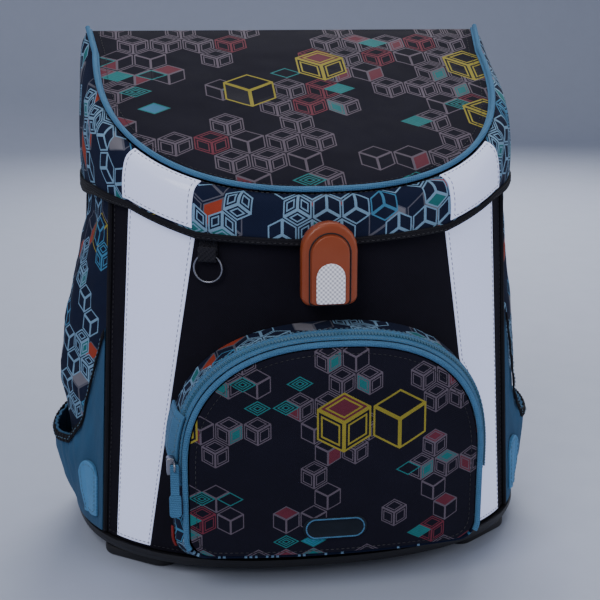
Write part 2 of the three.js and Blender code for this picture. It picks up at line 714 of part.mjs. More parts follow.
function ringLoop() {
  const slot = RING_WIRE + GAP;
  const sag = RING_RADIUS - Math.sqrt(RING_RADIUS ** 2 - (LOOP_WIDTH / 2) ** 2);
  const fold = RING_RADIUS - sag - RING_WIRE - GAP - 0.2 + slot;
  const [nearTop, farTop] = [BAND_FRONT_DROP * 0.4 + 1, BAND_FRONT_DROP * 0.7];
  const shape = new THREE.Shape();
  shape.moveTo(GAP, farTop);
  shape.lineTo(GAP, fold);
  shape.absarc(RING_OUT, fold, slot + WEBBING, Math.PI, 2 * Math.PI);
  shape.lineTo(RING_OUT + slot + WEBBING, nearTop);
  shape.lineTo(RING_OUT + slot, nearTop);
  shape.lineTo(RING_OUT + slot, fold);
  shape.absarc(RING_OUT, fold, slot, 2 * Math.PI, Math.PI, true);
  shape.lineTo(RING_OUT - slot, farTop);
  const geometry = new THREE.ExtrudeGeometry(shape, {
    depth: LOOP_WIDTH,
    bevelEnabled: false,
    curveSegments: 6,
  });
  // The outline's first axis points away from the case, and its depth runs across it.
  geometry.translate(0, 0, -LOOP_WIDTH / 2).rotateX(Math.PI / 2).rotateZ(-Math.PI / 2);
  return placeOnCase(geometry);
}

// Side pockets

// Height of a side pocket's mouth from the front seam to the back seam.
const MOUTH = [
  { at: 0, height: 1 },
  { at: 0.08, height: 0.78 },
  { at: 0.16, height: 0.58 },
  { at: 0.25, height: 0.49 },
  { at: 0.4, height: 0.475 },
  { at: 0.7, height: 0.51 },
  { at: 1, height: 0.55 },
];
const mouthHeight = (u) => SIDE_POCKET_HIGH * read(MOUTH, u, "height");

// How far a side pocket stands out, by share of the height of the mouth's front end.
const SIDE_POCKET_PROFILE = [
  { at: 0.1, out: 0.12 },
  { at: 0.17, out: 0.36 },
  { at: 0.26, out: 0.7 },
  { at: 0.38, out: 0.96 },
  { at: 0.46, out: 1 },
  { at: 0.54, out: 0.96 },
  { at: 0.62, out: 0.8 },
];

function sidePocketSurface(side, mouth, foot) {
  return (u, v) => {
    const y = sideDepth(u);
    const z = lerp(mouth(u), foot(u), v);
    const bulge = side < 0 ? LEFT_POCKET_BULGE : RIGHT_POCKET_BULGE;
    const full = bulge * read(SIDE_POCKET_PROFILE, z / SIDE_POCKET_HIGH, "out") * swell(u) ** 0.8;
    const [ahead, behind] = [u - STEP, u + STEP];
    const change = sideHalf(side, behind, z) - sideHalf(side, ahead, z);
    const slope = change / (sideDepth(behind) - sideDepth(ahead));
    const seat = sideBulge(side, u, z) + (SIDE_POCKET_WALL + LAP) * Math.hypot(1, slope);
    const loose = 1 - clamp((z / SIDE_POCKET_HIGH - 0.62) / 0.1, 0, 1);
    return vec(side * (planHalf(y, z) + Math.max(seat, full * loose)), y, z);
  };
}

function sidePocket(side) {
  const surface = sidePocketSurface(side, mouthHeight, () => SIDE_POCKET_FOOT);
  return layer(surface, { steps: [12, 6], from: -SIDE_POCKET_WALL, to: 0 });
}

function pocketHem(side) {
  const top = (u) => mouthHeight(u) - 0.5;
  const surface = sidePocketSurface(side, top, (u) => top(u) - SIDE_HEM);
  return layer(surface, { steps: [12, 1], from: 1.6 * LAP, to: 1.6 * LAP + 1 });
}

function pocketPleat(side) {
  const reach = PLEAT_WIDTH / (SIDE_BACK - SEAM_Y);
  const arch = (u) => PLEAT_FOOT + PLEAT_HEIGHT * (1 - 0.25 * Math.abs((2 * (u - 0.04)) / reach - 1) ** 2.5);
  const surface = sidePocketSurface(side, arch, () => PLEAT_FOOT);
  return layer(surface, { steps: [4, 4], u: [0.04, 0.04 + reach], from: LAP, to: LAP + 1.6 });
}

// Back

function backPad() {
  const [half, corner, edge] = [PAD_WIDTH / 2, 28, 3];
  const [low, high] = [PAD_FOOT + edge, PAD_TOP - edge];
  const side = half - edge;
  const shape = new THREE.Shape();
  shape.moveTo(-side + corner, low);
  shape.lineTo(side - corner, low);
  shape.absarc(side - corner, low + corner, corner, -Math.PI / 2, 0);
  shape.lineTo(side, high - corner);
  shape.absarc(side - corner, high - corner, corner, 0, Math.PI / 2);
  shape.lineTo(-side + corner, high);
  shape.absarc(-side + corner, high - corner, corner, Math.PI / 2, Math.PI);
  shape.lineTo(-side, low + corner);
  shape.absarc(-side + corner, low + corner, corner, Math.PI, 1.5 * Math.PI);
  const geometry = new THREE.ExtrudeGeometry(shape, {
    depth: PAD_THICK - 2 * edge,
    bevelThickness: edge,
    bevelSize: edge,
    bevelSegments: 2,
    curveSegments: 4,
  });
  return geometry.rotateX(Math.PI / 2).translate(0, BACK + GAP + PAD_THICK - edge, 0);
}

// A flat band of cloth along a path, with its width read at shares of its length.
function ribbon(points, widthAt, thick, steps) {
  const path = new THREE.CatmullRomCurve3(points);
  const outward = vec(0, 1, 0);
  const surface = (u, v) => {
    const across = path.getTangent(v).cross(outward).normalize();
    return path.getPoint(v).addScaledVector(across, (u - 0.5) * widthAt(v));
  };
  return layer(surface, { steps, from: -thick / 2, to: thick / 2 });
}

// From the seam under the lid down to the adjuster: shares of the fall, of the sag and of the way out.
const STRAP_ROUTE = [
  { fall: 0, sag: 0, apart: 0 },
  { fall: 0.05, sag: 0.16, apart: 0.02 },
  { fall: 0.11, sag: 0.62, apart: 0.08 },
  { fall: 0.22, sag: 0.95, apart: 0.24 },
  { fall: 0.5, sag: 1.06, apart: 0.64 },
  { fall: 0.78, sag: 0.78, apart: 0.9 },
  { fall: 1, sag: 0.5, apart: 1 },
];
const STRAP_OUT = 62; // how much further apart each strap ends than it starts
const ADJUSTER = { width: 33, depth: 6, height: 20 };

function strapPoint(side, { fall, sag, apart }) {
  return vec(
    side * (STRAP_APART / 2 + STRAP_OUT * apart),
    BACK + GAP + STRAP_THICK / 2 + STRAP_SAG * sag,
    lerp(STRAP_TOP, STRAP_FOOT, fall),
  );
}

function strap(side) {
  const points = STRAP_ROUTE.map((row) => strapPoint(side, row));
  const width = (v) => lerp(STRAP_WIDTH, STRAP_END_WIDTH, clamp((v - 0.55) / 0.45, 0, 1) ** 1.5);
  return ribbon(points, width, STRAP_THICK, [2, 14]);
}

function adjuster(side) {
  const end = strapPoint(side, STRAP_ROUTE[STRAP_ROUTE.length - 1]);
  const { width, depth, height } = ADJUSTER;
  const geometry = new RoundedBoxGeometry(width, depth, height, 1, 1.5);
  return geometry.translate(end.x, end.y - 2, end.z - height / 2 - STRAP_THICK * 0.35);
}

function strapWebbing(side) {
  const end = strapPoint(side, STRAP_ROUTE[STRAP_ROUTE.length - 1]);
  const top = end.z - ADJUSTER.height - STRAP_THICK * 0.35 - LAP;
  const flat = BACK + GAP + WEBBING / 2;
  const points = [
    vec(end.x, end.y - 2, top),
    vec(end.x, end.y - 2, top - 3),
    vec(end.x + side * WEBBING_SPREAD * 0.2, lerp(flat, end.y, 0.6), lerp(PANEL_FOOT, top, 0.72)),
    vec(end.x + side * WEBBING_SPREAD * 0.6, lerp(flat, end.y, 0.16), lerp(PANEL_FOOT, top, 0.42)),
    vec(end.x + side * WEBBING_SPREAD * 0.85, flat, lerp(PANEL_FOOT, top, 0.26)),
    vec(end.x + side * WEBBING_SPREAD, flat, lerp(PANEL_FOOT, top, 0.1)),
  ];
  return ribbon(points, () => STRAP_WEBBING_WIDTH, WEBBING, [1, 12]);
}

function handle() {
  const half = HANDLE_WIDTH / 2;
  const seat = BACK + 2 * GAP;
  const points = [
    vec(-half, seat, HANDLE_Z),
    vec(-half, seat + HANDLE_REACH * 0.3, HANDLE_Z),
    vec(-half * 0.78, seat + HANDLE_REACH * 0.86, HANDLE_Z),
    vec(0, seat + HANDLE_REACH, HANDLE_Z),
    vec(half * 0.78, seat + HANDLE_REACH * 0.86, HANDLE_Z),
    vec(half, seat + HANDLE_REACH * 0.3, HANDLE_Z),
    vec(half, seat, HANDLE_Z),
  ];
  return cordThrough(points, HANDLE_RADIUS, 18);
}

// Finishes

const finish = (color, roughness, metalness = 0) =>
  new THREE.MeshStandardMaterial({ color, roughness, metalness });
const NAVY = 0x17151f;
const BLACK = 0x121116;
const SKY = 0x6fa9c9;

const cloth = () => finish(NAVY, 0.85);
const print = () => finish(0x1b2036, 0.8);
const trim = () => finish(BLACK, 0.7);
const sky = () => finish(SKY, 0.7);
const reflective = () => finish(0xd9d9ea, 0.25);
const plastic = () => finish(BLACK, 0.5);
const orange = () => finish(0xb4552a, 0.45);
const steel = () => finish(0xb8b8c0, 0.3, 1);

// Assembly

const satchel = new THREE.Group();

function add(parent, name, geometry, material) {
  const mesh = new THREE.Mesh(geometry, material);
  mesh.name = name;
  parent.add(mesh);
}

const SIDES = [
  ["left", -1],
  ["right", 1],
];

const body = new THREE.Group();
add(body, "front_panel", frontPanel(), cloth());
add(body, "back_panel", backPanel(), cloth());
add(body, "base_tray", baseTray(), plastic());
add(body, "key_ring", keyRing(), steel());
add(body, "ring_loop", ringLoop(), trim());

const lid = new THREE.Group();
add(lid, "lid_top", lidTop(), print());
add(lid, "lid_band", lidBand(), print());
add(lid, "lid_piping", lidPiping(), sky());
add(lid, "lid_binding", lidBinding(), trim());

const clasp = new THREE.Group();
add(clasp, "clasp_catch", claspCatch(), plastic());
add(clasp, "clasp_body", claspBody(), orange());
add(clasp, "clasp_tongue", claspTongue(), orange());
add(clasp, "clasp_window", claspWindow(), reflective());

const pocket = new THREE.Group();
add(pocket, "pocket_face", pocketFace(), print());
add(pocket, "pocket_gusset", pocketGusset(), print());
add(pocket, "pocket_piping", pocketPiping(), sky());
add(pocket, "pocket_zip", pocketZip(), sky());
add(pocket, "zip_slider", zipSlider(), steel());
add(pocket, "zip_puller", zipPuller(), sky());
add(pocket, "zip_end_tab", zipEndTab(), sky());
add(pocket, "pocket_badge", pocketBadge(), trim());
add(pocket, "side_tag", sideTag(), finish(0x8e2f2a, 0.7));

const back = new THREE.Group();
add(back, "back_pad", backPad(), trim());
add(back, "handle", handle(), trim());

for (const [label, side] of SIDES) {
  add(body, `side_panel_${label}`, sidePanel(side), print());
  add(body, `body_reflector_${label}`, bodyReflector(side), reflective());
  add(body, `side_pocket_${label}`, sidePocket(side), sky());
  add(body, `pocket_hem_${label}`, pocketHem(side), trim());
  add(body, `pocket_pleat_${label}`, pocketPleat(side), sky());
  for (const end of ["front", "back"]) add(body, `foot_${end}_${label}`, foot(side, end), plastic());
  add(lid, `lid_reflector_${label}`, lidReflector(side), reflective());
  add(back, `strap_${label}`, strap(side), trim());
  add(back, `strap_webbing_${label}`, strapWebbing(side), trim());
  add(back, `adjuster_${label}`, adjuster(side), plastic());
}
satchel.add(body, lid, clasp, pocket, back);

// The origin is the middle of the bounding box's underside.
const box = new THREE.Box3().setFromObject(satchel, true);
const middle = box.getCenter(new THREE.Vector3());
satchel.position.set(-middle.x, -middle.y, -box.min.z);

const ransel = new THREE.Group();
ransel.add(satchel);

export default ransel;
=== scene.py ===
"""A child's school satchel: cloth, trims and fittings made over its solid frame."""

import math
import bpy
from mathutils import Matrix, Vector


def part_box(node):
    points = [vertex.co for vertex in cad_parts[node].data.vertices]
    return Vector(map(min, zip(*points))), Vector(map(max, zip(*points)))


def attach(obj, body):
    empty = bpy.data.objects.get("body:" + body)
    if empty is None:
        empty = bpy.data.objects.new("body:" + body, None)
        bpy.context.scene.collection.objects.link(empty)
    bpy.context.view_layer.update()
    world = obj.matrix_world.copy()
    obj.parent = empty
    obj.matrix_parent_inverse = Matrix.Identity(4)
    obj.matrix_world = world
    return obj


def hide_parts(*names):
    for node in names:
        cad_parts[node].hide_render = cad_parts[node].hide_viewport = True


bl_info = {
    "name": "School Satchel",
    "version": (1, 0, 0),
    "blender": (4, 5, 0),
    "location": "3D View > Sidebar > Satchel",
    "description": "Makes the cloth, trims and fittings of a school satchel",
    "category": "Add Mesh",
}

from functools import cache

import bmesh
import bpy
import numpy as np
from bpy.props import FloatProperty, FloatVectorProperty, IntProperty, PointerProperty
from mathutils import Vector, noise
from mathutils.bvhtree import BVHTree

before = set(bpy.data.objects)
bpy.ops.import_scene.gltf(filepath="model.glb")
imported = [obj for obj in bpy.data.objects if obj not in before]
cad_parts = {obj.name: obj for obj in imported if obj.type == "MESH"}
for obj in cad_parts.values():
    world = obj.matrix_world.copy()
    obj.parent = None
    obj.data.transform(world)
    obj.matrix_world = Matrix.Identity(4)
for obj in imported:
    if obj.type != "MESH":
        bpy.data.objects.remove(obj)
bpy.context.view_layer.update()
BODY = "root"
MM = 0.001
SIDES = (("left", -1), ("right", 1))

# Sizes of the frame's forms, in millimetres, with X across, Y towards the wearer and Z up.
BACK_HEIGHT, LID_FALL, CASE_DEPTH = 375, 98, 182
BASE_WIDTH, TOP_WIDTH = 346, 297
FRONT_REACH, FRONT_POWER = 140, 2.4
BACK_CORNER, WALL, RIM_DROP = 15, 4, 18
SEAM = math.radians(60)
BULGE = {-1: 18, 1: 9}
FOOT_LENGTH, FOOT_WIDTH = 62, 30
FOOT_HEIGHT, TRAY_HEIGHT, TRAY_WALL, TRAY_ROUND = 8, 9, 3.5, 8
LID_BACK_WIDTH, LID_SIDE_WIDTH, LID_REACH, LID_POWER = 306, 296, 150, 2.4
LID_WALL, LID_INSET = 4.5, 3.6
BAND_WALL, BAND_OUT, BAND_SIDE_OUT, BAND_DROP = 2.5, 5.3, 3.8, 34
BINDING_THICK, PIPING_RADIUS = 0.8, 1.9
FILM_THICK, FILM_BEHIND_HEM, FILM_OFF_TRAY = 0.6, 8, 3
FILM_INNER_TOP, FILM_INNER_FOOT, FILM_OUTER_TOP, FILM_OUTER_FOOT = 28, 41, 51, 54
POCKET_WIDTH, POCKET_CENTRE, POCKET_TOP, POCKET_FOOT = 204, 4, 184, 32
POCKET_SPRING, POCKET_POWER, POCKET_CORNER = 95, 2.4, 14
POCKET_DEPTH, POCKET_BOW, POCKET_FLARE, GUSSET_DROP = 31, 10, 7, 13
POCKET_WALL, ZIP_WALL, ZIP_PIPING, FACE_INSET = 2.5, 1.2, 2, 3.2
SIDE_POCKET_BULGE = {-1: 21.5, 1: 16}
SIDE_POCKET_HIGH, SIDE_POCKET_FOOT, SIDE_POCKET_WALL, SIDE_HEM = 174, 18, 2, 6
PLEAT_WIDTH, PLEAT_HEIGHT, PLEAT_FOOT = 14, 42, 28
RING_RADIUS, RING_X, RING_Z, LOOP_WIDTH, WEBBING = 9.5, -76, 228, 12, 1.6
PAD_THICK = 11
STRAP_WIDTH, STRAP_END_WIDTH, STRAP_THICK, STRAP_APART = 60, 36, 10, 88
STRAP_TOP, STRAP_SAG, STRAP_FOOT, STRAP_SPREAD, STRAP_WEBBING = 344, 32, 116, 62, 25
HANDLE_WIDTH, HANDLE_REACH, HANDLE_RADIUS, HANDLE_Z = 92, 20, 4.5, 356
GAP, LAP = 0.3, 0.6

BACK = CASE_DEPTH / 2 - 1
FRONT = BACK - CASE_DEPTH
ROUND_Y = FRONT + FRONT_REACH
LID_ROUND_Y = FRONT + LID_REACH
TRAY_TOP = FOOT_HEIGHT + TRAY_HEIGHT
PANEL_FOOT = TRAY_TOP + GAP
SIDE_BACK = BACK - BACK_CORNER
LID_SLOPE = math.atan(LID_FALL / CASE_DEPTH)
LID_SHARE = 2 / 3
POCKET_COLUMNS = 48

# Points that the outer sides of the walls face away from.
HEART = np.array((0, 0, BACK_HEIGHT / 2))
POCKET_HEART = np.array((POCKET_CENTRE, FRONT, POCKET_SPRING))
STRAP_HEART = np.array((0, -900, 200))

# The row frame's origin lies under the middle of the whole satchel.
ORIGIN = np.array((
    sum(corner.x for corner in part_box("clasp_body")) / 2,
    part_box("back_pad")[1].y - (BACK + GAP + PAD_THICK) * MM,
    0,
))


# ---------------------------------------------------------------- settings


def colour(name, description, default):
    return FloatVectorProperty(
        name=name, description=description, subtype="COLOR", size=3, min=0, max=1, default=default
    )


def length(name, description, default):
    return FloatProperty(name=name, description=description, unit="LENGTH", default=default, min=0)


class SatchelCloth(bpy.types.PropertyGroup):
    """Colours and weaves of the cloths."""

    navy: colour("Navy", "Plain cloth of the case", (0.0075, 0.0065, 0.012))
    ground: colour("Print ground", "Ground of the printed cloth", (0.0085, 0.008, 0.017))
    side_ground: colour("Side ground", "Ground of the cloth on the sides", (0.008, 0.012, 0.034))
    black: colour("Black", "Binding, webbing and mesh", (0.0125, 0.012, 0.016))
    sky: colour("Sky", "Light blue piping and tape", (0.07, 0.19, 0.34))
    dim_sky: colour("Dim sky", "Darker blue of the side pockets", (0.036, 0.1, 0.19))
    pitch: length("Thread pitch", "Distance between threads of the weave", 0.0012)
    wrinkle: length("Wrinkle", "Depth of the soft wrinkles in the side cloth", 0.0022)


class SatchelPrint(bpy.types.PropertyGroup):
    """The printed pattern of outlined cubes."""

    cell: length("Cube", "Width of a printed cube on the lid", 0.0245)
    pocket_cell: length("Pocket cube", "Width of a printed cube on the front pocket", 0.0185)
    side_cell: length("Side cube", "Width of a printed cube on the sides", 0.0195)
    big_cell: length("Large cube", "Width of the few large cubes", 0.038)
    outline: colour("Outline", "Grey outline of the cubes", (0.12, 0.095, 0.125))
    teal: colour("Teal", "Teal faces", (0.02, 0.17, 0.18))
    magenta: colour("Magenta", "Dull magenta faces", (0.15, 0.026, 0.045))
    yellow: colour("Yellow", "Outline of the large cubes", (0.3, 0.25, 0.035))
    azure: colour("Azure", "Light blue faces and outlines", (0.06, 0.21, 0.36))
    white: colour("White", "Outline of the cubes on the sides", (0.19, 0.32, 0.46))
    orange: colour("Orange", "Warm faces on the sides", (0.38, 0.05, 0.02))


class SatchelSeams(bpy.types.PropertyGroup):
    """Stitches and zip teeth."""

    stitch_pitch: length("Stitch pitch", "Distance from stitch to stitch", 0.0036)
    stitch_length: length("Stitch length", "Length of one stitch", 0.0026)
    thread: length("Thread", "Thickness of the thread", 0.00055)
    tooth_pitch: length("Tooth pitch", "Distance from tooth to tooth of the zip", 0.0022)
    tooth: length("Tooth", "Width of a tooth of the zip", 0.0015)


class SatchelPadding(bpy.types.PropertyGroup):
    """Padded pieces."""

    frames: IntProperty(name="Steps", description="Steps of the cloth simulation", default=16, min=1)
    pressure: FloatProperty(name="Pressure", description="Pressure inside the pads", default=3.5)
    swell: length("Swell", "Furthest that a pad may swell", 0.004)
    crown: length("Lid crown", "How far the lid's padding stands up in its middle", 0.0022)


class SatchelStage(bpy.types.PropertyGroup):
    """Camera, lights and floor."""

    lens: FloatProperty(name="Lens", description="Focal length in millimetres", default=69)
    place: FloatVectorProperty(
        name="Camera", description="Place of the camera", subtype="TRANSLATION",
        default=(-0.1273, -0.827, 0.405),
    )
    pitch: FloatProperty(name="Pitch", description="Tilt from straight down, in degrees", default=74.9)
    yaw: FloatProperty(name="Yaw", description="Turn to the right, in degrees", default=-8.8)
    key: FloatProperty(name="Key light", description="Power of the main light in watts", default=16)
    floor: colour("Floor", "Pale floor", (0.46, 0.5, 0.62))


def settings(name):
    return getattr(bpy.context.scene, "satchel_" + name)


# ---------------------------------------------------------------- surfaces of the frame's forms


def power(value, exponent):
    return np.sign(value) * np.abs(value) ** exponent


def lerp(low, high, share):
    return low + (high - low) * share


def place(x, y, z):
    return np.stack(np.broadcast_arrays(x, y, z), -1).astype(float)


def read(rows, at):
    """A table of (place, value) rows, straight between rows."""
    return np.interp(at, [row[0] for row in rows], [row[1] for row in rows])


def case_half(z):
    return lerp(BASE_WIDTH, TOP_WIDTH, z / BACK_HEIGHT) / 2


def lid_height(y):
    return BACK_HEIGHT - LID_FALL * (BACK - y) / CASE_DEPTH


def rim_height(y):
    return lid_height(y) - RIM_DROP


def front_point(angle, z, out=0.0):
    x = (case_half(z) + out) * power(np.sin(angle), 2 / FRONT_POWER)
    y = ROUND_Y - (FRONT_REACH + out) * power(np.cos(angle), 2 / FRONT_POWER)
    return place(x, y, z)


SEAM_Y = float(front_point(SEAM, 0)[1])


def plan_half(y, z):
    ahead = np.clip((ROUND_Y - y) / FRONT_REACH, 0, 1)
    return case_half(z) * (1 - ahead**FRONT_POWER) ** (1 / FRONT_POWER)


SIDE_PROFILE = ((0.04, 0.1), (0.1, 0.24), (0.18, 0.42), (0.26, 0.72), (0.32, 0.95), (0.38, 1),
                (0.46, 0.9), (0.53, 0.66), (0.66, 0))


def swell(share):
    return np.sin(np.pi * np.clip(share, 0, 1)) ** 1.2


def side_bulge(side, share, z):
    return BULGE[side] * read(SIDE_PROFILE, z / BACK_HEIGHT) * swell(share)


def front_surface(u, v):
    angle = lerp(-SEAM, SEAM, u)
    rim = rim_height(front_point(angle, 0)[..., 1])
    return front_point(angle, lerp(PANEL_FOOT, rim, v))


def side_depth(u):
    return lerp(SEAM_Y + LAP, SIDE_BACK - GAP, u)


def side_half(side, u, z):
    return plan_half(side_depth(u), z) + side_bulge(side, u, z)


def side_surface(side):
    def surface(u, v):
        y = side_depth(u)
        z = lerp(PANEL_FOOT, rim_height(y), v)
        return place(side * side_half(side, u, z), y, z)

    return surface


# Share of the back's columns that cover its flat; its corners take the rest.
BACK_FLAT = 0.2


def back_point(share, z, out=0.0):
    half = case_half(z) + out
    side = np.where(share < 0.5, -1, 1)
    far = np.abs(share - 0.5) * 2
    corner = BACK_CORNER + out
    turn = np.pi / 2 * (1 - np.clip((far - BACK_FLAT) / (1 - BACK_FLAT), 0, 1))
    flat = far <= BACK_FLAT
    x = np.where(flat, (half - corner) * far / BACK_FLAT, half - corner + corner * np.cos(turn))
    y = np.where(flat, BACK + out, SIDE_BACK + corner * np.sin(turn))
    return place(side * x, y, z)


def back_surface(u, v):
    y = back_point(u, 0)[..., 1]
    top = lid_height(y - WALL) - LID_WALL / math.cos(LID_SLOPE) - GAP
    return back_point(u, lerp(PANEL_FOOT, top, v))


# Shares of half the plan at which its round front and then its straight side end.
PLAN_FRONT, PLAN_SIDE = 0.5, 0.7


def plan_point(share, z, out):
    """A point of the case's whole outline at a height."""
    turn = np.where(share < 0.5, share * 2, (1 - share) * 2)
    side = np.where(share < 0.5, 1, -1)
    front = front_point(np.clip(turn / PLAN_FRONT, 0, 1) * np.pi / 2, z, out)
    along = (turn - PLAN_FRONT) / (PLAN_SIDE - PLAN_FRONT)
    straight = place(case_half(z) + out, lerp(ROUND_Y, SIDE_BACK, along), z)
    back = back_point(1 - (turn - PLAN_SIDE) / (1 - PLAN_SIDE) / 2, z, out)
    rear = np.where((turn < PLAN_SIDE)[..., None], straight, back)
    point = np.where((turn < PLAN_FRONT)[..., None], front, rear)
    return place(side * point[..., 0], point[..., 1], z)


TRAY_DOWN = ((0, 0), (0.2, 0.35), (0.4, 0.72), (0.6, 0.93), (0.8, 1))
TRAY_CURL = ((0, -0.4), (0.2, -0.4), (0.4, -0.2), (0.6, 0.3), (0.8, 1))


def tray_surface(u, v):
    row = 1 - v
    z = TRAY_TOP - TRAY_HEIGHT * read(TRAY_DOWN, row)
    rim = plan_point(u, z, -TRAY_ROUND * read(TRAY_CURL, row))
    shrink = np.minimum((1 - row) / (1 - TRAY_DOWN[-1][0]), 1)
    return place(rim[..., 0] * shrink, rim[..., 1] * shrink, z)


def lid_edge(share, inset=0.0):
    far, side = np.abs(share), np.sign(share)
    half = LID_SIDE_WIDTH / 2 - inset
    angle = np.clip(far / LID_SHARE, 0, 1) * np.pi / 2
    along = np.clip((far - LID_SHARE) / (1 - LID_SHARE), 0, 1)
    rounded = far < LID_SHARE
    x = np.where(
        rounded,
        half * power(np.sin(angle), 2 / LID_POWER),
        lerp(half, LID_BACK_WIDTH / 2 - inset, along),
    )
    y = np.where(
        rounded,
        LID_ROUND_Y - (LID_REACH - inset) * power(np.cos(angle), 2 / LID_POWER),
        lerp(LID_ROUND_Y, BACK, along),
    )
    return place(side * x, y, 0)


EDGE_SHARE = 5 / 6


def lid_surface(u, v):
    edge = lid_edge(lerp(-1, 1, np.minimum(u / EDGE_SHARE, 1)), LID_INSET)
    back = np.clip((u - EDGE_SHARE) / (1 - EDGE_SHARE), 0, 1)
    edge[..., 0] *= 1 - 2 * back
    middle = np.array((0, (BACK + FRONT) / 2, 0))
    point = lerp(middle, edge, np.asarray(v)[..., None])
    point[..., 2] = lid_height(point[..., 1])
    return point


BAND_HEM = ((0, 0), (0.2, 0.14), (0.36, 0.6), (0.5, 0.7), (0.75, 0.5), (1, 0.4))
BAND_DOWN = (0.01, 0.07, 0.18, 0.42, 0.68, 0.86, 1)
BAND_SWELL = (0, 0.5, 0.82, 1.02, 1.08, 1.06, 1)
# Shares between which the band's hem comes in from its front's reach to its sides'.
BAND_EASE = (0.2, 0.4)


def hem_height(share):
    return lid_height(FRONT) - BAND_DROP + BAND_DROP * read(BAND_HEM, np.abs(share))


def band_hem(share):
    far, side = np.abs(share), np.sign(share)
    z = hem_height(share)
    out = np.interp(far, BAND_EASE, (BAND_OUT, BAND_SIDE_OUT))
    front = front_point(side * np.clip(far, 0, LID_SHARE) * np.pi / 2 / LID_SHARE, z, out)
    along = (far - LID_SHARE) / (1 - LID_SHARE)
    straight = place(side * (case_half(z) + out), lerp(ROUND_Y, SIDE_BACK + WALL, along), z)
    return np.where((far < LID_SHARE)[..., None], front, straight)


def smooth_read(values, at):
    """A row of evenly spaced values, read along a smooth curve through them."""
    values = np.asarray(values, float)
    last = len(values) - 1
    place_at = np.clip(at, 0, 1) * last
    low = np.clip(np.floor(place_at).astype(int), 0, last - 1)
    share = place_at - low
    before, after = values[np.maximum(low - 1, 0)], values[np.minimum(low + 2, last)]
    here, there = values[low], values[low + 1]
    rise, fall = (there - before) / 2, (after - here) / 2
    square, cube = share**2, share**3
    return (
        (2 * cube - 3 * square + 1) * here
        + (cube - 2 * square + share) * rise
        + (3 * square - 2 * cube) * there
        + (cube - square) * fall
    )


def band_surface(u, v):
    share = lerp(-1, 1, np.asarray(u, float))
    top, hem = lid_edge(share), band_hem(share)
    out, down = smooth_read(BAND_SWELL, v), smooth_read(BAND_DOWN, v)
    return place(
        lerp(top[..., 0], hem[..., 0], out),
        lerp(top[..., 1], hem[..., 1], out),
        lerp(lid_height(top[..., 1]), hem[..., 2], down),
    )


def angle_at(x, z):
    return np.arcsin(np.clip(x / case_half(z), 0, 1) ** (FRONT_POWER / 2))


def pocket_reach(side, z):
    half = POCKET_WIDTH / 2 + POCKET_FLARE
    rise = np.clip((z - POCKET_SPRING) / (POCKET_TOP + POCKET_FLARE - POCKET_SPRING), 0, 1)
    return side * POCKET_CENTRE + half * (1 - rise**POCKET_POWER) ** (1 / POCKET_POWER)


def film_surface(side):
    """The reflective film on a front corner of the case."""

    def under_hem(angle):
        return hem_height(LID_SHARE * angle / (np.pi / 2)) + FILM_BEHIND_HEM

    def surface(u, v):
        foot = TRAY_TOP + FILM_OFF_TRAY
        plain = np.radians(lerp(FILM_INNER_FOOT, FILM_INNER_TOP, v))
        z = lerp(foot, under_hem(plain), v)
        inner = np.maximum(plain, angle_at(pocket_reach(side, z) + 2 * LAP, z))
        angle = lerp(inner, np.radians(lerp(FILM_OUTER_FOOT, FILM_OUTER_TOP, v)), u)
        return front_point(side * angle, lerp(foot, under_hem(angle), v))

    return surface


# Shares of the pocket's outline at which its foot, its corner and its straight side end.
FOOT_SHARE, CORNER_SHARE, SPRING_SHARE = 4 / POCKET_COLUMNS, 7 / POCKET_COLUMNS, 12 / POCKET_COLUMNS


def pocket_outline(share, grow, drop):
    share = np.asarray(share, float)
    turn = np.minimum(share, 1 - share)
    side = np.where(share < 0.5, 1, -1)
    half = POCKET_WIDTH / 2 + grow
    foot = POCKET_FOOT - drop
    bend = np.clip((turn - FOOT_SHARE) / (CORNER_SHARE - FOOT_SHARE), 0, 1) * np.pi / 2
    arch = np.clip((turn - SPRING_SHARE) / (0.5 - SPRING_SHARE), 0, 1) * np.pi / 2
    rise = (turn - CORNER_SHARE) / (SPRING_SHARE - CORNER_SHARE)
    spans = [turn < FOOT_SHARE, turn < CORNER_SHARE, turn < SPRING_SHARE]
    flat = (half - POCKET_CORNER) * turn / FOOT_SHARE
    corner_x, corner_z = POCKET_CORNER * (1 - np.sin(bend)), POCKET_CORNER * (1 - np.cos(bend))
    domed_x = half * power(np.cos(arch), 2 / POCKET_POWER)
    domed_z = (POCKET_TOP + grow - POCKET_SPRING) * power(np.sin(arch), 2 / POCKET_POWER)
    upright = lerp(foot + POCKET_CORNER, POCKET_SPRING, rise)
    x = np.select(spans, [flat, half - corner_x, half + 0 * turn], domed_x)
    z = np.select(spans, [foot + 0 * turn, foot + corner_z, upright], POCKET_SPRING + domed_z)
    return place(POCKET_CENTRE + side * x, 0, z)


def face_depth(x):
    return FRONT - POCKET_DEPTH + POCKET_BOW * (2 * (x - POCKET_CENTRE) / POCKET_WIDTH) ** 2


def case_front(x, z):
    share = np.clip(np.abs(x) / case_half(z), 0, 1)
    return ROUND_Y - FRONT_REACH * (1 - share**FRONT_POWER) ** (1 / FRONT_POWER)


# How the gusset flares, drops and runs back, from its front edge to the case.
GUSSET_OUT = ((0, 0), (1 / 3, 0.85), (1, 1))
GUSSET_DOWN = ((0, 0), (1 / 3, 0.12), (1, 1))
GUSSET_BACK = ((0, 0), (1 / 3, 0.28), (1, 1))


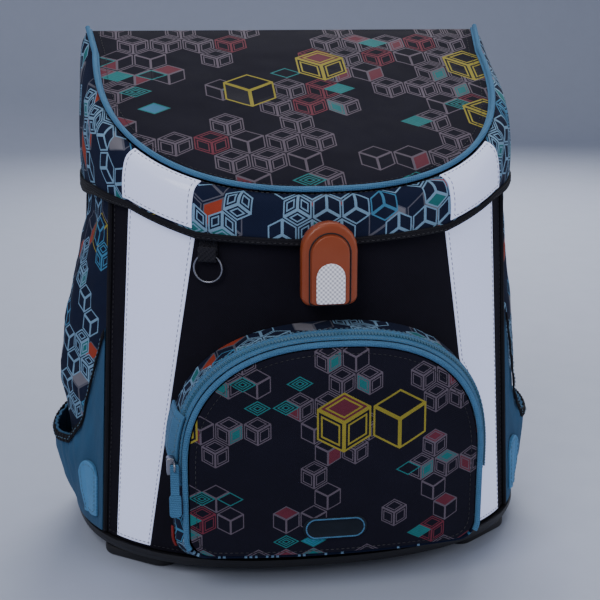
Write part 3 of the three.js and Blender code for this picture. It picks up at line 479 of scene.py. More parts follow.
def gusset_surface(u, v):
    u, v = np.broadcast_arrays(np.asarray(u, float), np.asarray(v, float))
    point = pocket_outline(u, POCKET_FLARE * read(GUSSET_OUT, v), GUSSET_DROP * read(GUSSET_DOWN, v))
    inner = np.maximum(np.abs(point[..., 0]) - 1.5 * POCKET_WALL, 0)
    low = np.minimum(u, 1 - u) < CORNER_SHARE
    floor = np.where(low, POCKET_WALL * GUSSET_DROP / POCKET_DEPTH, 0)
    seat = case_front(inner, point[..., 2]) - GAP - floor
    start = face_depth(point[..., 0]) + ZIP_PIPING + 1
    point[..., 1] = lerp(start, seat, read(GUSSET_BACK, v))
    return point


def face_surface(u, v):
    middle = np.array((POCKET_CENTRE, 0, POCKET_SPRING))
    point = lerp(middle, pocket_outline(u, -FACE_INSET, -FACE_INSET), np.asarray(v, float)[..., None])
    point[..., 1] = face_depth(point[..., 0])
    return point


MOUTH = ((0, 1), (0.08, 0.78), (0.16, 0.58), (0.25, 0.49), (0.4, 0.475), (0.7, 0.51), (1, 0.55))
SIDE_POCKET_PROFILE = ((0.1, 0.12), (0.17, 0.36), (0.26, 0.7), (0.38, 0.96), (0.46, 1), (0.54, 0.96),
                       (0.62, 0.8))
# Shares of a side pocket's height between which its loose cloth ends.
SIDE_POCKET_LOOSE = (0.62, 0.72)
# Change of a share over which slopes and normals are measured.
STEP = 1e-3


def mouth_height(u):
    return SIDE_POCKET_HIGH * read(MOUTH, u)


def side_pocket_surface(side, mouth, foot):
    def surface(u, v):
        y = side_depth(u)
        z = lerp(mouth(u), foot(u), v)
        full = SIDE_POCKET_BULGE[side] * read(SIDE_POCKET_PROFILE, z / SIDE_POCKET_HIGH)
        full = full * swell(u) ** 0.8
        change = side_half(side, u + STEP, z) - side_half(side, u - STEP, z)
        slope = change / (side_depth(u + STEP) - side_depth(u - STEP))
        seat = side_bulge(side, u, z) + (SIDE_POCKET_WALL + LAP) * np.hypot(1, slope)
        loose = np.interp(z / SIDE_POCKET_HIGH, SIDE_POCKET_LOOSE, (1, 0))
        return place(side * (plan_half(y, z) + np.maximum(seat, full * loose)), y, z)

    return surface


STRAP_ROUTE = ((0, 0, 0), (0.05, 0.16, 0.02), (0.11, 0.62, 0.08), (0.22, 0.95, 0.24), (0.5, 1.06, 0.64),
               (0.78, 0.78, 0.9), (1, 0.5, 1))


def strap_point(side, fall, sag, apart):
    return (
        side * (STRAP_APART / 2 + STRAP_SPREAD * apart),
        BACK + GAP + STRAP_THICK / 2 + STRAP_SAG * sag,
        lerp(STRAP_TOP, STRAP_FOOT, fall),
    )


def run_along(path):
    """The length along a path up to each of its points."""
    return np.concatenate(([0], np.cumsum(np.linalg.norm(np.diff(path, axis=0), axis=1))))


def points_at(path, marks, at):
    """Points of a path where the marks of its own points reach the given values."""
    return np.stack([np.interp(at, marks, path[:, axis]) for axis in range(3)], -1)


def smooth_path(points, count):
    """Points spread evenly along a smooth curve through the given ones."""
    points = np.asarray(points, float)
    fine = np.linspace(0, 1, 40 * len(points))
    curve = np.stack([smooth_read(points[:, axis], fine) for axis in range(3)], -1)
    run = run_along(curve)
    return points_at(curve, run, np.linspace(0, run[-1], count))


# ---------------------------------------------------------------- meshes

# Lengths, in metres, under which points are one and under which a face is too thin to keep.
WELD, SLIVER = 1e-6, 1e-7
NOISE_STEPS = (7.31, 3.17, 5.73)


def normals_of(surface, u, v, heart, fan=False):
    """Unit normals of a surface of two shares, on the side away from its heart."""
    if fan:
        v = np.maximum(v, 2 * STEP)
    across = surface(np.minimum(u + STEP, 1), v) - surface(np.maximum(u - STEP, 0), v)
    along = surface(u, np.minimum(v + STEP, 1)) - surface(u, np.maximum(v - STEP, 0))
    normal = np.cross(across, along)
    normal /= np.maximum(np.linalg.norm(normal, axis=-1, keepdims=True), 1e-12)
    away = np.sum(normal * (surface(u, v) - heart), -1, keepdims=True)
    return np.where(away < 0, -normal, normal)


def crumple(points, size, depth, seed, stretch=(1, 1, 1)):
    """A soft, seeded unevenness: an offset for each point."""
    flat = points.reshape(-1, 3) / size / np.asarray(stretch)
    shift = Vector([seed * step for step in NOISE_STEPS])
    values = [noise.fractal(Vector(point) + shift, 0.6, 2.1, 3) for point in flat]
    return depth * np.array(values).reshape(points.shape[:-1])


def add_object(name, data):
    """A new object in the scene, at the origin."""
    thing = bpy.data.objects.new(name, data)
    bpy.context.scene.collection.objects.link(thing)
    return thing


def set_faces(mesh, key, value):
    mesh.polygons.foreach_set(key, [value] * len(mesh.polygons))


def new_piece(name, points, faces, material, uv=None, sharp=40):
    """A closed mesh from points in the row frame; uv gives two lengths for each point."""
    mesh = bpy.data.meshes.new(name)
    mesh.from_pydata([tuple(point) for point in np.asarray(points)], [], faces)
    if uv is not None:
        layer = mesh.uv_layers.new(name="wrap")
        loops = np.zeros(len(mesh.loops), np.int32)
        mesh.loops.foreach_get("vertex_index", loops)
        layer.data.foreach_set("uv", np.asarray(uv, np.float32)[loops].ravel())
    cage = bmesh.new()
    cage.from_mesh(mesh)
    bmesh.ops.remove_doubles(cage, verts=cage.verts, dist=WELD)
    bmesh.ops.dissolve_degenerate(cage, edges=cage.edges, dist=SLIVER)
    bmesh.ops.recalc_face_normals(cage, faces=cage.faces)
    cage.to_mesh(mesh)
    cage.free()
    set_faces(mesh, "use_smooth", True)
    mesh.set_sharp_from_angle(angle=math.radians(sharp))
    mesh.materials.append(material)
    return add_object(name, mesh)


def freeze(piece):
    """Turns what the piece's modifiers make into its own mesh."""
    bpy.context.view_layer.update()
    depsgraph = bpy.context.evaluated_depsgraph_get()
    mesh = bpy.data.meshes.new_from_object(piece.evaluated_get(depsgraph))
    piece.modifiers.clear()
    old = piece.data
    piece.data = mesh
    bpy.data.meshes.remove(old)
    return piece


def soften(piece, width, segments=2, angle=50):
    """Rounds the piece's sharp edges."""
    bevel = piece.modifiers.new("edges", "BEVEL")
    bevel.width = width
    bevel.segments = segments
    bevel.limit_method = "ANGLE"
    bevel.angle_limit = math.radians(angle)
    bevel.use_clamp_overlap = True
    freeze(piece)
    piece.data.set_sharp_from_angle(angle=math.radians(60))
    return piece


def to_row(points):
    return np.asarray(points, float) * MM + ORIGIN


def grid_faces(columns, rows, row_ends, column_ends):
    """Faces of two like grids of points, one over the other, and of the walls at the given ends."""
    wide = columns + 1
    count = wide * (rows + 1)
    faces = []

    def wall(a, b, last):
        faces.append((a, b, b + count, a + count) if last else (b, a, a + count, b + count))

    for a in (j * wide + i for j in range(rows) for i in range(columns)):
        face = (a, a + 1, a + 1 + wide, a + wide)
        faces += [face, tuple(index + count for index in reversed(face))]
    for i in range(columns):
        for row in row_ends:
            wall(row * wide + i, row * wide + i + 1, row)
    for j in range(rows):
        for column in column_ends:
            wall(j * wide + column, (j + 1) * wide + column, column)
    return faces


def shell(name, surface, steps, low, high, material, u=(0, 1), v=(0, 1), ring=False, fan=False,
          heart=HEART, relief=None, back_relief=None, edge=0.0006):
    """A sewn wall between two offsets of a surface, with rounded edges and lengths for its pattern."""
    columns, rows = steps
    across, along = np.meshgrid(np.linspace(*u, columns + 1), np.linspace(*v, rows + 1))
    spread = surface(across, along)
    run_u = run_along(spread[rows // 2])
    run_v = np.zeros(spread.shape[:2])
    run_v[1:] = np.cumsum(np.linalg.norm(np.diff(spread, axis=0), axis=-1), axis=0)
    run_u = np.broadcast_to(run_u - run_u[-1] / 2, run_v.shape)
    uv = np.stack((run_u, run_v), -1).reshape(-1, 2) * MM
    closed = ring or fan
    if closed:
        across[:, -1] = across[:, 0]
    points = surface(across, along)
    normals = normals_of(surface, across, along, heart, fan)
    if fan:
        normals[0] = normals[0, 0]
    layers = []
    for offset, bumps in ((high, relief), (low, back_relief)):
        lift = offset + (bumps(across, along, points) if bumps else 0) + 0 * across
        layers.append((points + normals * lift[..., None]).reshape(-1, 3))
    faces = grid_faces(columns, rows, (rows,) if fan else (0, rows), () if closed else (0, columns))
    piece = new_piece(name, to_row(np.concatenate(layers)), faces, material, np.concatenate((uv, uv)))
    return soften(piece, edge) if edge else piece


def tube(path, radius, sides=10, closed=False, up=(0, 0, 1), flat=1.0):
    """Points, faces and lengths of a cord along a path in millimetres. radius may change along it."""
    path = np.asarray(path, float)
    count = len(path)
    radii = np.broadcast_to(radius, (count,))
    if closed:
        tangents = np.roll(path, -1, 0) - np.roll(path, 1, 0)
    else:
        tangents = np.gradient(path, axis=0)
    tangents /= np.linalg.norm(tangents, axis=1, keepdims=True)
    side = np.cross(tangents[0], up)
    side /= np.linalg.norm(side)
    rings = []
    for point, tangent, r in zip(path, tangents, radii):
        side = side - tangent * side.dot(tangent)
        side /= np.linalg.norm(side)
        other = np.cross(tangent, side)
        turns = np.arange(sides) * 2 * np.pi / sides
        rings.append(point + r * (np.cos(turns)[:, None] * side + flat * np.sin(turns)[:, None] * other))
    points = np.concatenate(rings)
    faces = []
    for i in range(count if closed else count - 1):
        for k in range(sides):
            a, b = i * sides + k, i * sides + (k + 1) % sides
            c, d = ((i + 1) % count) * sides + (k + 1) % sides, ((i + 1) % count) * sides + k
            faces.append((a, b, c, d))
    if not closed:
        faces.append(tuple(range(sides))[::-1])
        faces.append(tuple(range((count - 1) * sides, count * sides)))
    around = np.abs(np.arange(sides) - sides / 2) / sides * 2 * np.pi
    uv = np.array([(run, a * radii[0]) for run in run_along(path) for a in around]) * MM
    return points, faces, uv


def join(parts):
    """One list of points, faces and lengths from several."""
    points, faces, uv = [], [], []
    for part_points, part_faces, part_uv in parts:
        start = sum(len(group) for group in points)
        points.append(part_points)
        uv.append(part_uv)
        faces += [tuple(index + start for index in face) for face in part_faces]
    return np.concatenate(points), faces, np.concatenate(uv)


def moulded(name, form, material, origin=ORIGIN, sharp=40, edge=0, segments=2):
    """A piece from a form's points, faces and lengths, with its points in millimetres from an origin."""
    points, faces, uv = form
    piece = new_piece(name, points * MM + origin, faces, material, uv, sharp)
    return soften(piece, edge, segments) if edge else piece


def cord(name, path, radius, material, **how):
    return moulded(name, tube(path, radius, **how), material, sharp=70)


def slab(outline, thick, middle, across, up):
    """Points, faces and lengths of a flat plate from an outline of (across, up) in millimetres."""
    across, up = np.asarray(across, float), np.asarray(up, float)
    out = np.cross(across, up)
    outline = np.asarray(outline, float)
    flat = np.asarray(middle) + outline[:, :1] * across + outline[:, 1:] * up
    points = np.concatenate((flat + out * thick / 2, flat - out * thick / 2))
    count = len(outline)
    faces = [tuple(range(count)), tuple(range(2 * count - 1, count - 1, -1))]
    faces += [(i, i + count, (i + 1) % count + count, (i + 1) % count) for i in range(count)]
    return points, faces, np.concatenate((outline, outline)) * MM


def arc(x, y, radius, start, turn, steps):
    """Points of an arc round a middle."""
    angles = [start + turn * k / steps for k in range(steps + 1)]
    return [(x + radius * math.cos(angle), y + radius * math.sin(angle)) for angle in angles]


def rounded_box(half_width, half_height, corner, steps=5):
    """An outline with four round corners."""
    x, y, quarter = half_width - corner, half_height - corner, math.pi / 2
    outline = []
    for k, (middle_x, middle_y) in enumerate(((x, y), (-x, y), (-x, -y), (x, -y))):
        outline += arc(middle_x, middle_y, corner, k * quarter, quarter, steps)
    return outline


def arch_outline(half, foot, top, corner):
    """An outline with a round arch on top and small round corners at its foot."""
    quarter = math.pi / 2
    outline = arc(half - corner, foot + corner, corner, -quarter, quarter, 5)
    outline += arc(0, top - half, half, 0, math.pi, 24)
    return outline + arc(corner - half, foot + corner, corner, math.pi, quarter, 5)


def rounded_copy(node, name, material, width, segments=3, dissolve=2):
    """A copy of a frame's node with its flats made whole and its edges rounded."""
    cage = bmesh.new()
    cage.from_mesh(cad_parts[node].data)
    bmesh.ops.remove_doubles(cage, verts=cage.verts, dist=WELD)
    limit = math.radians(dissolve)
    bmesh.ops.dissolve_limit(cage, angle_limit=limit, verts=cage.verts, edges=cage.edges)
    mesh = bpy.data.meshes.new(name)
    cage.to_mesh(mesh)
    cage.free()
    set_faces(mesh, "use_smooth", True)
    set_faces(mesh, "material_index", 0)
    mesh.materials.append(material)
    return soften(add_object(name, mesh), width, segments, angle=35)


def finish_piece(piece, slot, *nodes, fill=None):
    """Seats a made piece on the satchel and hides the frame's nodes that it stands for; its slot, meant to
    name its finish, is not used.
    """
    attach(piece, BODY)
    if nodes:
        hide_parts(*nodes)
    return piece


def coordinates(mesh):
    flat = np.zeros(len(mesh.vertices) * 3)
    mesh.vertices.foreach_get("co", flat)
    return flat.reshape(-1, 3)


def inflate(piece, pinned, cap):
    """Fills a closed cloth piece with air, with its pinned points held, and keeps the result."""
    padding = settings("padding")
    start = coordinates(piece.data)
    held = piece.vertex_groups.new(name="held")
    held.add([index for index, point in enumerate(start) if pinned(point)], 1.0, "REPLACE")
    cloth = piece.modifiers.new("cloth", "CLOTH")
    cloth.settings.quality = 5
    cloth.settings.mass = 0.2
    cloth.settings.use_pressure = True
    cloth.settings.uniform_pressure_force = padding.pressure
    cloth.settings.effector_weights.gravity = 0
    cloth.settings.vertex_group_mass = "held"
    cloth.point_cache.frame_start = 1
    cloth.point_cache.frame_end = padding.frames
    scene = bpy.context.scene
    for frame in range(1, padding.frames + 1):
        scene.frame_set(frame)
    freeze(piece)
    scene.frame_set(1)
    moved = coordinates(piece.data) - start
    far = np.linalg.norm(moved, axis=1, keepdims=True)
    moved *= np.minimum(1, cap / np.maximum(far, 1e-9))
    piece.data.vertices.foreach_set("co", (start + moved).ravel())
    piece.data.update()


# ---------------------------------------------------------------- node trees


class Wires:
    """Adds nodes to a tree and joins them."""

    def __init__(self, tree):
        self.tree = tree

    def put(self, kind, *values, **how):
        node = self.tree.nodes.new(kind)
        for key, value in how.items():
            setattr(node, key, value)
        for socket, value in zip(node.inputs, values):
            self.feed(socket, value)
        return node

    def fill(self, kind, inputs, **how):
        """A node with its inputs given by name."""
        node = self.put(kind, **how)
        for key, value in inputs.items():
            self.feed(node.inputs[key], value)
        return node

    def feed(self, socket, value):
        if isinstance(value, bpy.types.NodeSocket):
            self.tree.links.new(value, socket)
        elif socket.type == "RGBA" and len(value) == 3:
            socket.default_value = (*value, 1)
        else:
            socket.default_value = value

    def math(self, operation, *values):
        return self.put("ShaderNodeMath", *values, operation=operation).outputs[0]

    def vector(self, operation, *values):
        node = self.put("ShaderNodeVectorMath", *values, operation=operation)
        scalar = operation in ("LENGTH", "DOT_PRODUCT", "DISTANCE")
        return node.outputs["Value" if scalar else "Vector"]

    def scaled(self, vector, factor):
        node = self.put("ShaderNodeVectorMath", vector, operation="SCALE")
        self.feed(node.inputs["Scale"], factor)
        return node.outputs["Vector"]

    def mix(self, factor, first, second):
        node = self.tree.nodes.new("ShaderNodeMix")
        node.data_type = "RGBA"
        self.feed(node.inputs[0], factor)
        self.feed(node.inputs[6], first)
        self.feed(node.inputs[7], second)
        return node.outputs[2]

    def split(self, vector):
        return self.put("ShaderNodeSeparateXYZ", vector).outputs

    def merge(self, *values):
        return self.put("ShaderNodeCombineXYZ", *values).outputs[0]

    def noise(self, vector, scale, detail=3.0, roughness=0.5):
        inputs = {"Vector": vector, "Scale": scale, "Detail": detail, "Roughness": roughness}
        return self.fill("ShaderNodeTexNoise", inputs).outputs["Fac"]

    def group(self, tree, **values):
        node = self.tree.nodes.new("ShaderNodeGroup")
        node.node_tree = tree
        for key, value in values.items():
            self.feed(node.inputs[key.replace("_", " ").capitalize()], value)
        return node.outputs


KINDS = {"number": "NodeSocketFloat", "colour": "NodeSocketColor", "vector": "NodeSocketVector"}
THREADS_IN = (("Vector", "vector"), ("Pitch", "number"))
THREADS_OUT = (("Height", "number"), ("Shade", "number"))
# Of the print: how far a cube stays inside its cell, its inner rings in line widths, how thick they
# are, the share of cubes with the plain outline, and how well the ink of a face covers.
CELL_MARGIN, INNER_RINGS, RING_LINE, PLAIN_PENS, INK_COVER = 0.02, (2.5, 4.3), 0.45, 0.72, 0.85


def new_group(name, inputs, outputs):
    """A shader node group with named inputs and outputs."""
    tree = bpy.data.node_groups.new(name, "ShaderNodeTree")
    for label, kind in inputs:
        tree.interface.new_socket(label, in_out="INPUT", socket_type=KINDS[kind])
    for label, kind in outputs:
        tree.interface.new_socket(label, in_out="OUTPUT", socket_type=KINDS[kind])
    wires = Wires(tree)
    return tree, wires, wires.put("NodeGroupInput").outputs, wires.put("NodeGroupOutput").inputs


def weave_group():
    """Plain weave: threads that pass over and under each other. Its Shade is painted shade that darkens the
    colour where the threads dip, with a patchy random tone.
    """
    tree, w, given, out = new_group("plain weave", THREADS_IN, THREADS_OUT)
    turns = w.math("DIVIDE", 2 * math.pi, given["Pitch"])
    x, y, z = w.split(w.scaled(given["Vector"], turns))
    across = w.math("SINE", w.math("ADD", x, z))
    along = w.math("SINE", w.math("ADD", y, z))
    height = w.math("MULTIPLY_ADD", w.math("MULTIPLY", across, along), 0.5, 0.5)
    patchy = w.noise(given["Vector"], 60.0)
    w.feed(out["Height"], height)
    w.feed(out["Shade"], w.math("MULTIPLY_ADD", w.math("ADD", height, patchy), 0.22, 0.78))
    return tree


def ribs_group():
    """Ribbed tape or webbing, with its ribs along the tape. Its Shade is painted shade that darkens the
    colour between the ribs.
    """
    tree, w, given, out = new_group("ribbed tape", THREADS_IN, THREADS_OUT)
    x, y, _ = w.split(w.vector("DIVIDE", given["Vector"], w.merge(given["Pitch"], given["Pitch"], 1.0)))
    rib = w.math("ABSOLUTE", w.math("SINE", w.math("MULTIPLY", y, math.pi)))
    phase = w.math("MULTIPLY", w.math("FLOOR", y), math.pi)
    slub = w.math("SINE", w.math("MULTIPLY_ADD", x, 2 * math.pi, phase))
    height = w.math("MULTIPLY_ADD", slub, 0.2, rib)
    w.feed(out["Height"], height)
    w.feed(out["Shade"], w.math("MULTIPLY_ADD", height, 0.35, 0.7))
    return tree


def grain_group():
    """Fine moulded or brushed unevenness, and broad handling marks."""
    tree, w, given, out = new_group(
        "grain", (("Vector", "vector"), ("Scale", "number")), (("Height", "number"), ("Marks", "number"))
    )
    fine = w.noise(given["Vector"], given["Scale"], 4.0, 0.6)
    broad = w.noise(given["Vector"], 26.0, 5.0, 0.65)
    w.feed(out["Height"], fine)
    w.feed(out["Marks"], w.math("SMOOTH_MAX", 0.0, w.math("MULTIPLY_ADD", broad, 3.0, -1.2), 0.2))
    return tree


def cube_grid_group():
    """Plane covered with cubes seen corner on: where each point lies in its cube."""
    tree, w, given, out = new_group(
        "cube grid",
        (("Vector", "vector"), ("Cell", "number"), ("Seed", "number")),
        (("Edge", "number"), ("Face", "number"), ("Random", "number"), ("Tint", "vector"),
         ("Inside", "number")),
    )
    wide, tall = 1.0, math.sqrt(3)
    x, y, _ = w.split(given["Vector"])
    point = w.merge(w.math("DIVIDE", x, given["Cell"]), w.math("DIVIDE", y, given["Cell"]), 0.0)
    half = (wide / 2, tall / 2, 1.0)
    minus = (-wide / 2, -tall / 2, -1.0)
    first = w.vector("WRAP", point, half, minus)
    second = w.vector("WRAP", w.vector("SUBTRACT", point, (wide / 2, tall / 2, 0.0)), half, minus)
    nearer = w.math("LESS_THAN", w.vector("LENGTH", first), w.vector("LENGTH", second))
    local = w.vector("ADD", w.scaled(first, nearer), w.scaled(second, w.math("SUBTRACT", 1.0, nearer)))
    doubled = w.vector("MULTIPLY", w.vector("SUBTRACT", point, local), (2 / wide, 2 / tall, 0.0))
    cell = w.vector("FLOOR", w.vector("ADD", doubled, (0.5, 0.5, 0.5)))
    cell = w.vector("ADD", cell, w.merge(given["Seed"], given["Seed"], given["Seed"]))
    random = w.put("ShaderNodeTexWhiteNoise", cell, noise_dimensions="3D")
    drift = w.math("MULTIPLY_ADD", w.noise(cell, 0.47, 1.0), 1.8, -0.65)
    clustered = w.math("MULTIPLY_ADD", random.outputs["Value"], 0.5, drift)
    gx, gy, _ = w.split(local)
    ax, ay = w.math("ABSOLUTE", gx), w.math("ABSOLUTE", gy)
    slanted = w.math("MULTIPLY_ADD", ax, 0.5, w.math("MULTIPLY", ay, math.sqrt(3) / 2))
    rim = w.math("SUBTRACT", 0.5, w.math("MAXIMUM", ax, slanted))
    angle = w.math("ADD", w.math("ARCTAN2", gy, gx), math.pi / 2)
    turned = w.math("WRAP", angle, 2 * math.pi, 0.0)
    third = 2 * math.pi / 3
    face = w.math("FLOOR", w.math("DIVIDE", turned, third))
    within = w.math("SUBTRACT", turned, w.math("MULTIPLY", face, third))
    nearest = w.math("MINIMUM", within, w.math("SUBTRACT", third, within))
    radius = w.vector("LENGTH", local)
    spoke = w.math("MULTIPLY", radius, w.math("SINE", nearest))
    w.feed(out["Edge"], w.math("MINIMUM", spoke, w.math("SUBTRACT", rim, CELL_MARGIN)))
    w.feed(out["Face"], face)
    w.feed(out["Random"], clustered)
    w.feed(out["Tint"], random.outputs["Color"])
    w.feed(out["Inside"], w.math("GREATER_THAN", rim, CELL_MARGIN))
    return tree


def printed_cubes_group(grid):
    """One screen of a print: outlined cubes, some with coloured faces, over a ground."""
    tree, w, given, out = new_group(
        "printed cubes",
        (
            ("Vector", "vector"), ("Ground", "colour"), ("Cover", "colour"), ("Cell", "number"),
            ("Line", "number"), ("Density", "number"), ("Top only", "number"), ("Seed", "number"),
            ("Outline", "colour"), ("Accent", "colour"), ("Fill one", "colour"), ("Fill two", "colour"),
            ("Fill share", "number"), ("Nested", "number"),
        ),
        (("Colour", "colour"), ("Ink", "number")),
    )
    cells = w.group(grid, vector=given["Vector"], cell=given["Cell"], seed=given["Seed"])
    warm, cool, wild = w.split(cells["Tint"])
    is_top = w.math("COMPARE", cells["Face"], 1.0, 0.1)
    shown = w.math("MULTIPLY", w.math("LESS_THAN", cells["Random"], given["Density"]), cells["Inside"])
    allowed = w.math("MAXIMUM", is_top, w.math("SUBTRACT", 1.0, given["Top only"]))
    shown = w.math("MULTIPLY", shown, allowed)
    line = w.math("LESS_THAN", cells["Edge"], given["Line"])
    ring = w.math("MULTIPLY", given["Line"], RING_LINE)
    inner, inmost = (
        w.math("COMPARE", cells["Edge"], w.math("MULTIPLY", given["Line"], far), ring) for far in INNER_RINGS
    )
    inner = w.math("MAXIMUM", inner, w.math("MULTIPLY", inmost, given["Top only"]))
    inner = w.math("MULTIPLY", inner, w.math("GREATER_THAN", given["Nested"], wild))
    line = w.math("MAXIMUM", line, inner)
    chosen = w.math("COMPARE", cells["Face"], w.math("FLOOR", w.math("MULTIPLY", cool, 3.0)), 0.1)
    filled = w.math("MULTIPLY", chosen, w.math("LESS_THAN", warm, given["Fill share"]))
    fill = w.mix(w.math("GREATER_THAN", wild, 0.5), given["Fill one"], given["Fill two"])
    pen = w.mix(w.math("GREATER_THAN", warm, PLAIN_PENS), given["Outline"], given["Accent"])
    covered = w.mix(shown, given["Ground"], given["Cover"])
    ink = w.math("MULTIPLY", w.math("MULTIPLY", filled, shown), INK_COVER)
    grounded = w.mix(ink, covered, fill)
    w.feed(out["Colour"], w.mix(w.math("MULTIPLY", line, shown), grounded, pen))
    w.feed(out["Ink"], w.math("MULTIPLY", shown, w.math("MAXIMUM", line, filled)))
    return tree


# ---------------------------------------------------------------- materials


def tinted(tone, factor):
    return tuple(factor * value for value in tone)


THREADS = {"dark": (0.018, 0.017, 0.024), "light": (0.1, 0.2, 0.28), "grey": (0.22, 0.22, 0.27)}


class Finishes:
    """Makes each material once, from the shared node groups."""

    def __init__(self):
        self.weave = weave_group()
        self.ribs = ribs_group()
        self.grain = grain_group()
        self.cubes = printed_cubes_group(cube_grid_group())
        self.made = {}

    def start(self, name, source, turn=(0, 0, 0), shift=(0, 0, 0)):
        """A new material, its nodes, its shader and the vector that its pattern follows."""
        material = bpy.data.materials.new(name)
        material.use_nodes = True
        w = Wires(material.node_tree)
        shader = next(node for node in material.node_tree.nodes if node.type == "BSDF_PRINCIPLED")
        if source == "wrap":
            vector = w.put("ShaderNodeUVMap", uv_map="wrap").outputs["UV"]
        else:
            vector = w.put("ShaderNodeTexCoord").outputs["Object"]
        mapping = w.fill("ShaderNodeMapping", {"Rotation": turn, "Location": shift, "Vector": vector})
        self.made[name] = material
        return material, w, shader, mapping.outputs[0]

    def bump(self, w, shader, height, strength, distance):
        inputs = {"Height": height, "Strength": strength, "Distance": distance}
        w.feed(shader.inputs["Normal"], w.fill("ShaderNodeBump", inputs).outputs["Normal"])

    def fabric(self, name, paint, source="object", turn=(0, 0, 0), shift=(0, 0, 0), roughness=0.88,
               sheen=0.015, texture="weave", pitch=None, strength=0.35):
        """A woven cloth or ribbed tape. paint gives its colour, or is a plain colour."""
        if name in self.made:
            return self.made[name]
        material, w, shader, vector = self.start(name, source, turn, shift)
        pitch = pitch or settings("cloth").pitch
        thread = w.group(self.weave if texture == "weave" else self.ribs, vector=vector, pitch=pitch)
        tone, ink = paint(w, vector) if callable(paint) else (tuple(paint), 0.0)
        marks = w.group(self.grain, vector=vector, scale=300.0)["Marks"]
        # Colour darkened by the threads' painted shade where they dip, with a patchy random tone and lighter
        # handling marks.
        muted = w.scaled(tone, w.math("MULTIPLY_ADD", marks, 0.25, thread["Shade"]))
        w.feed(shader.inputs["Base Color"], muted)
        rough = w.math("MULTIPLY_ADD", thread["Height"], -0.08, roughness)
        w.feed(shader.inputs["Roughness"], w.math("MULTIPLY_ADD", ink, -0.16, rough))
        shader.inputs["Specular IOR Level"].default_value = 0.13
        shader.inputs["Sheen Weight"].default_value = sheen
        shader.inputs["Sheen Roughness"].default_value = 0.4
        self.bump(w, shader, thread["Height"], strength, pitch * 0.3)
        return material

    def hard(self, name, tone, roughness, scale=900.0, strength=0.12, metallic=0.0, coat=0.0,
             worn=(0.5, 0.5, 0.5), wear=0.1):
        """Moulded plastic, film or metal, with grain and handling marks."""
        if name in self.made:
            return self.made[name]
        material, w, shader, vector = self.start(name, "object")
        grain = w.group(self.grain, vector=vector, scale=scale)
        handled = w.math("MULTIPLY", grain["Marks"], wear)
        w.feed(shader.inputs["Base Color"], w.mix(handled, tuple(tone), worn))
        w.feed(shader.inputs["Roughness"], w.math("MULTIPLY_ADD", grain["Marks"], 0.12, roughness))
        shader.inputs["Metallic"].default_value = metallic
        shader.inputs["Coat Weight"].default_value = coat
        self.bump(w, shader, grain["Height"], strength, 0.0002)
        return material

    def shine(self, w, shader, tone, painted_glow, coat):
        """Gives a reflector its colour, a painted glow from emission of that colour, standing in for the
        light that it sends back, and its clear coat.
        """
        w.feed(shader.inputs["Base Color"], tone)
        # Emission of the reflector's own colour: a painted glow, since the reflector is no lamp.
        w.feed(shader.inputs["Emission Color"], tone)
        shader.inputs["Emission Strength"].default_value = painted_glow
        shader.inputs["Coat Weight"].default_value = coat

    def screens(self, w, vector, ground, layers):
        """Prints screens of cubes over each other, each with its shift and its values."""
        tone, ink = ground, 0.0
        for shift, values in layers:
            moved = w.vector("ADD", vector, shift)
            screen = w.group(self.cubes, vector=moved, ground=tone, cover=ground, **values)
            tone, ink = screen["Colour"], w.math("MAXIMUM", ink, screen["Ink"])
        return tone, ink

    # The satchel's own finishes

    def navy(self):
        return self.fabric("navy cloth", settings("cloth").navy, source="wrap")

    def black_tape(self):
        return self.fabric("black tape", settings("cloth").black, source="wrap", texture="ribs",
                           pitch=0.0016, strength=0.6, sheen=0.05)

    def black_webbing(self):
        return self.fabric("black webbing", settings("cloth").black, source="wrap", texture="ribs",
                           pitch=0.0021, strength=0.9, sheen=0.05)

    def black_mesh(self):
        return self.fabric("black mesh", tinted(settings("cloth").black, 1.6), turn=(-math.pi / 2, 0, 0),
                           pitch=0.0034, strength=1.0, sheen=0.05)

    def sky_tape(self):
        return self.fabric("sky tape", settings("cloth").sky, source="wrap", texture="ribs",
                           pitch=0.0013, strength=0.6, sheen=0.08)

    def light_tape(self):
        return self.fabric("light tape", tinted(settings("cloth").sky, 1.7), source="wrap",
                           texture="ribs", pitch=0.0013, strength=0.6, sheen=0.08)

    def sky_cloth(self):
        return self.fabric("sky cloth", settings("cloth").dim_sky, source="wrap", pitch=0.0013, sheen=0.06,
                           strength=0.5)

    def sky_cord(self):
        return self.fabric("sky piping", settings("cloth").sky, source="wrap", pitch=0.0022, sheen=0.08,
                           turn=(0, 0, math.radians(35)), strength=0.8)

    def thread(self, shade):
        return self.hard(f"{shade} thread", THREADS[shade], 0.7, scale=2000.0)

    def dark_print(self, name, turn, shift, seed, cell, density, big_seed, big_shift, big_density):
        """The lid's and front pocket's cloth: framed cubes and teal rhombi on near-black."""
        inks, plain = settings("print"), tuple(settings("cloth").ground)
        teal, magenta, yellow = tuple(inks.teal), tuple(inks.magenta), tuple(inks.yellow)
        cubes = dict(
            cell=cell, line=0.036, density=density, seed=seed, outline=tuple(inks.outline), accent=magenta,
            fill_one=teal, fill_two=magenta, fill_share=0.24, nested=0.72,
        )
        rhombi = dict(
            cell=cell, line=0.04, density=0.23, top_only=1.0, seed=seed + 3.0, outline=teal, accent=teal,
            fill_one=teal, fill_two=tuple(inks.azure), fill_share=0.75, nested=0.6,
        )
        big_cubes = dict(
            cell=inks.big_cell, line=0.034, density=big_density, seed=big_seed, outline=yellow,
            accent=yellow, fill_one=magenta, fill_two=plain, fill_share=0.6, nested=0.6,
        )
        layers = (((0, 0, 0), cubes), (self.half_cell(cell), rhombi), (big_shift, big_cubes))
        return self.fabric(
            name, lambda w, vector: self.screens(w, vector, plain, layers), turn=turn, shift=shift
        )

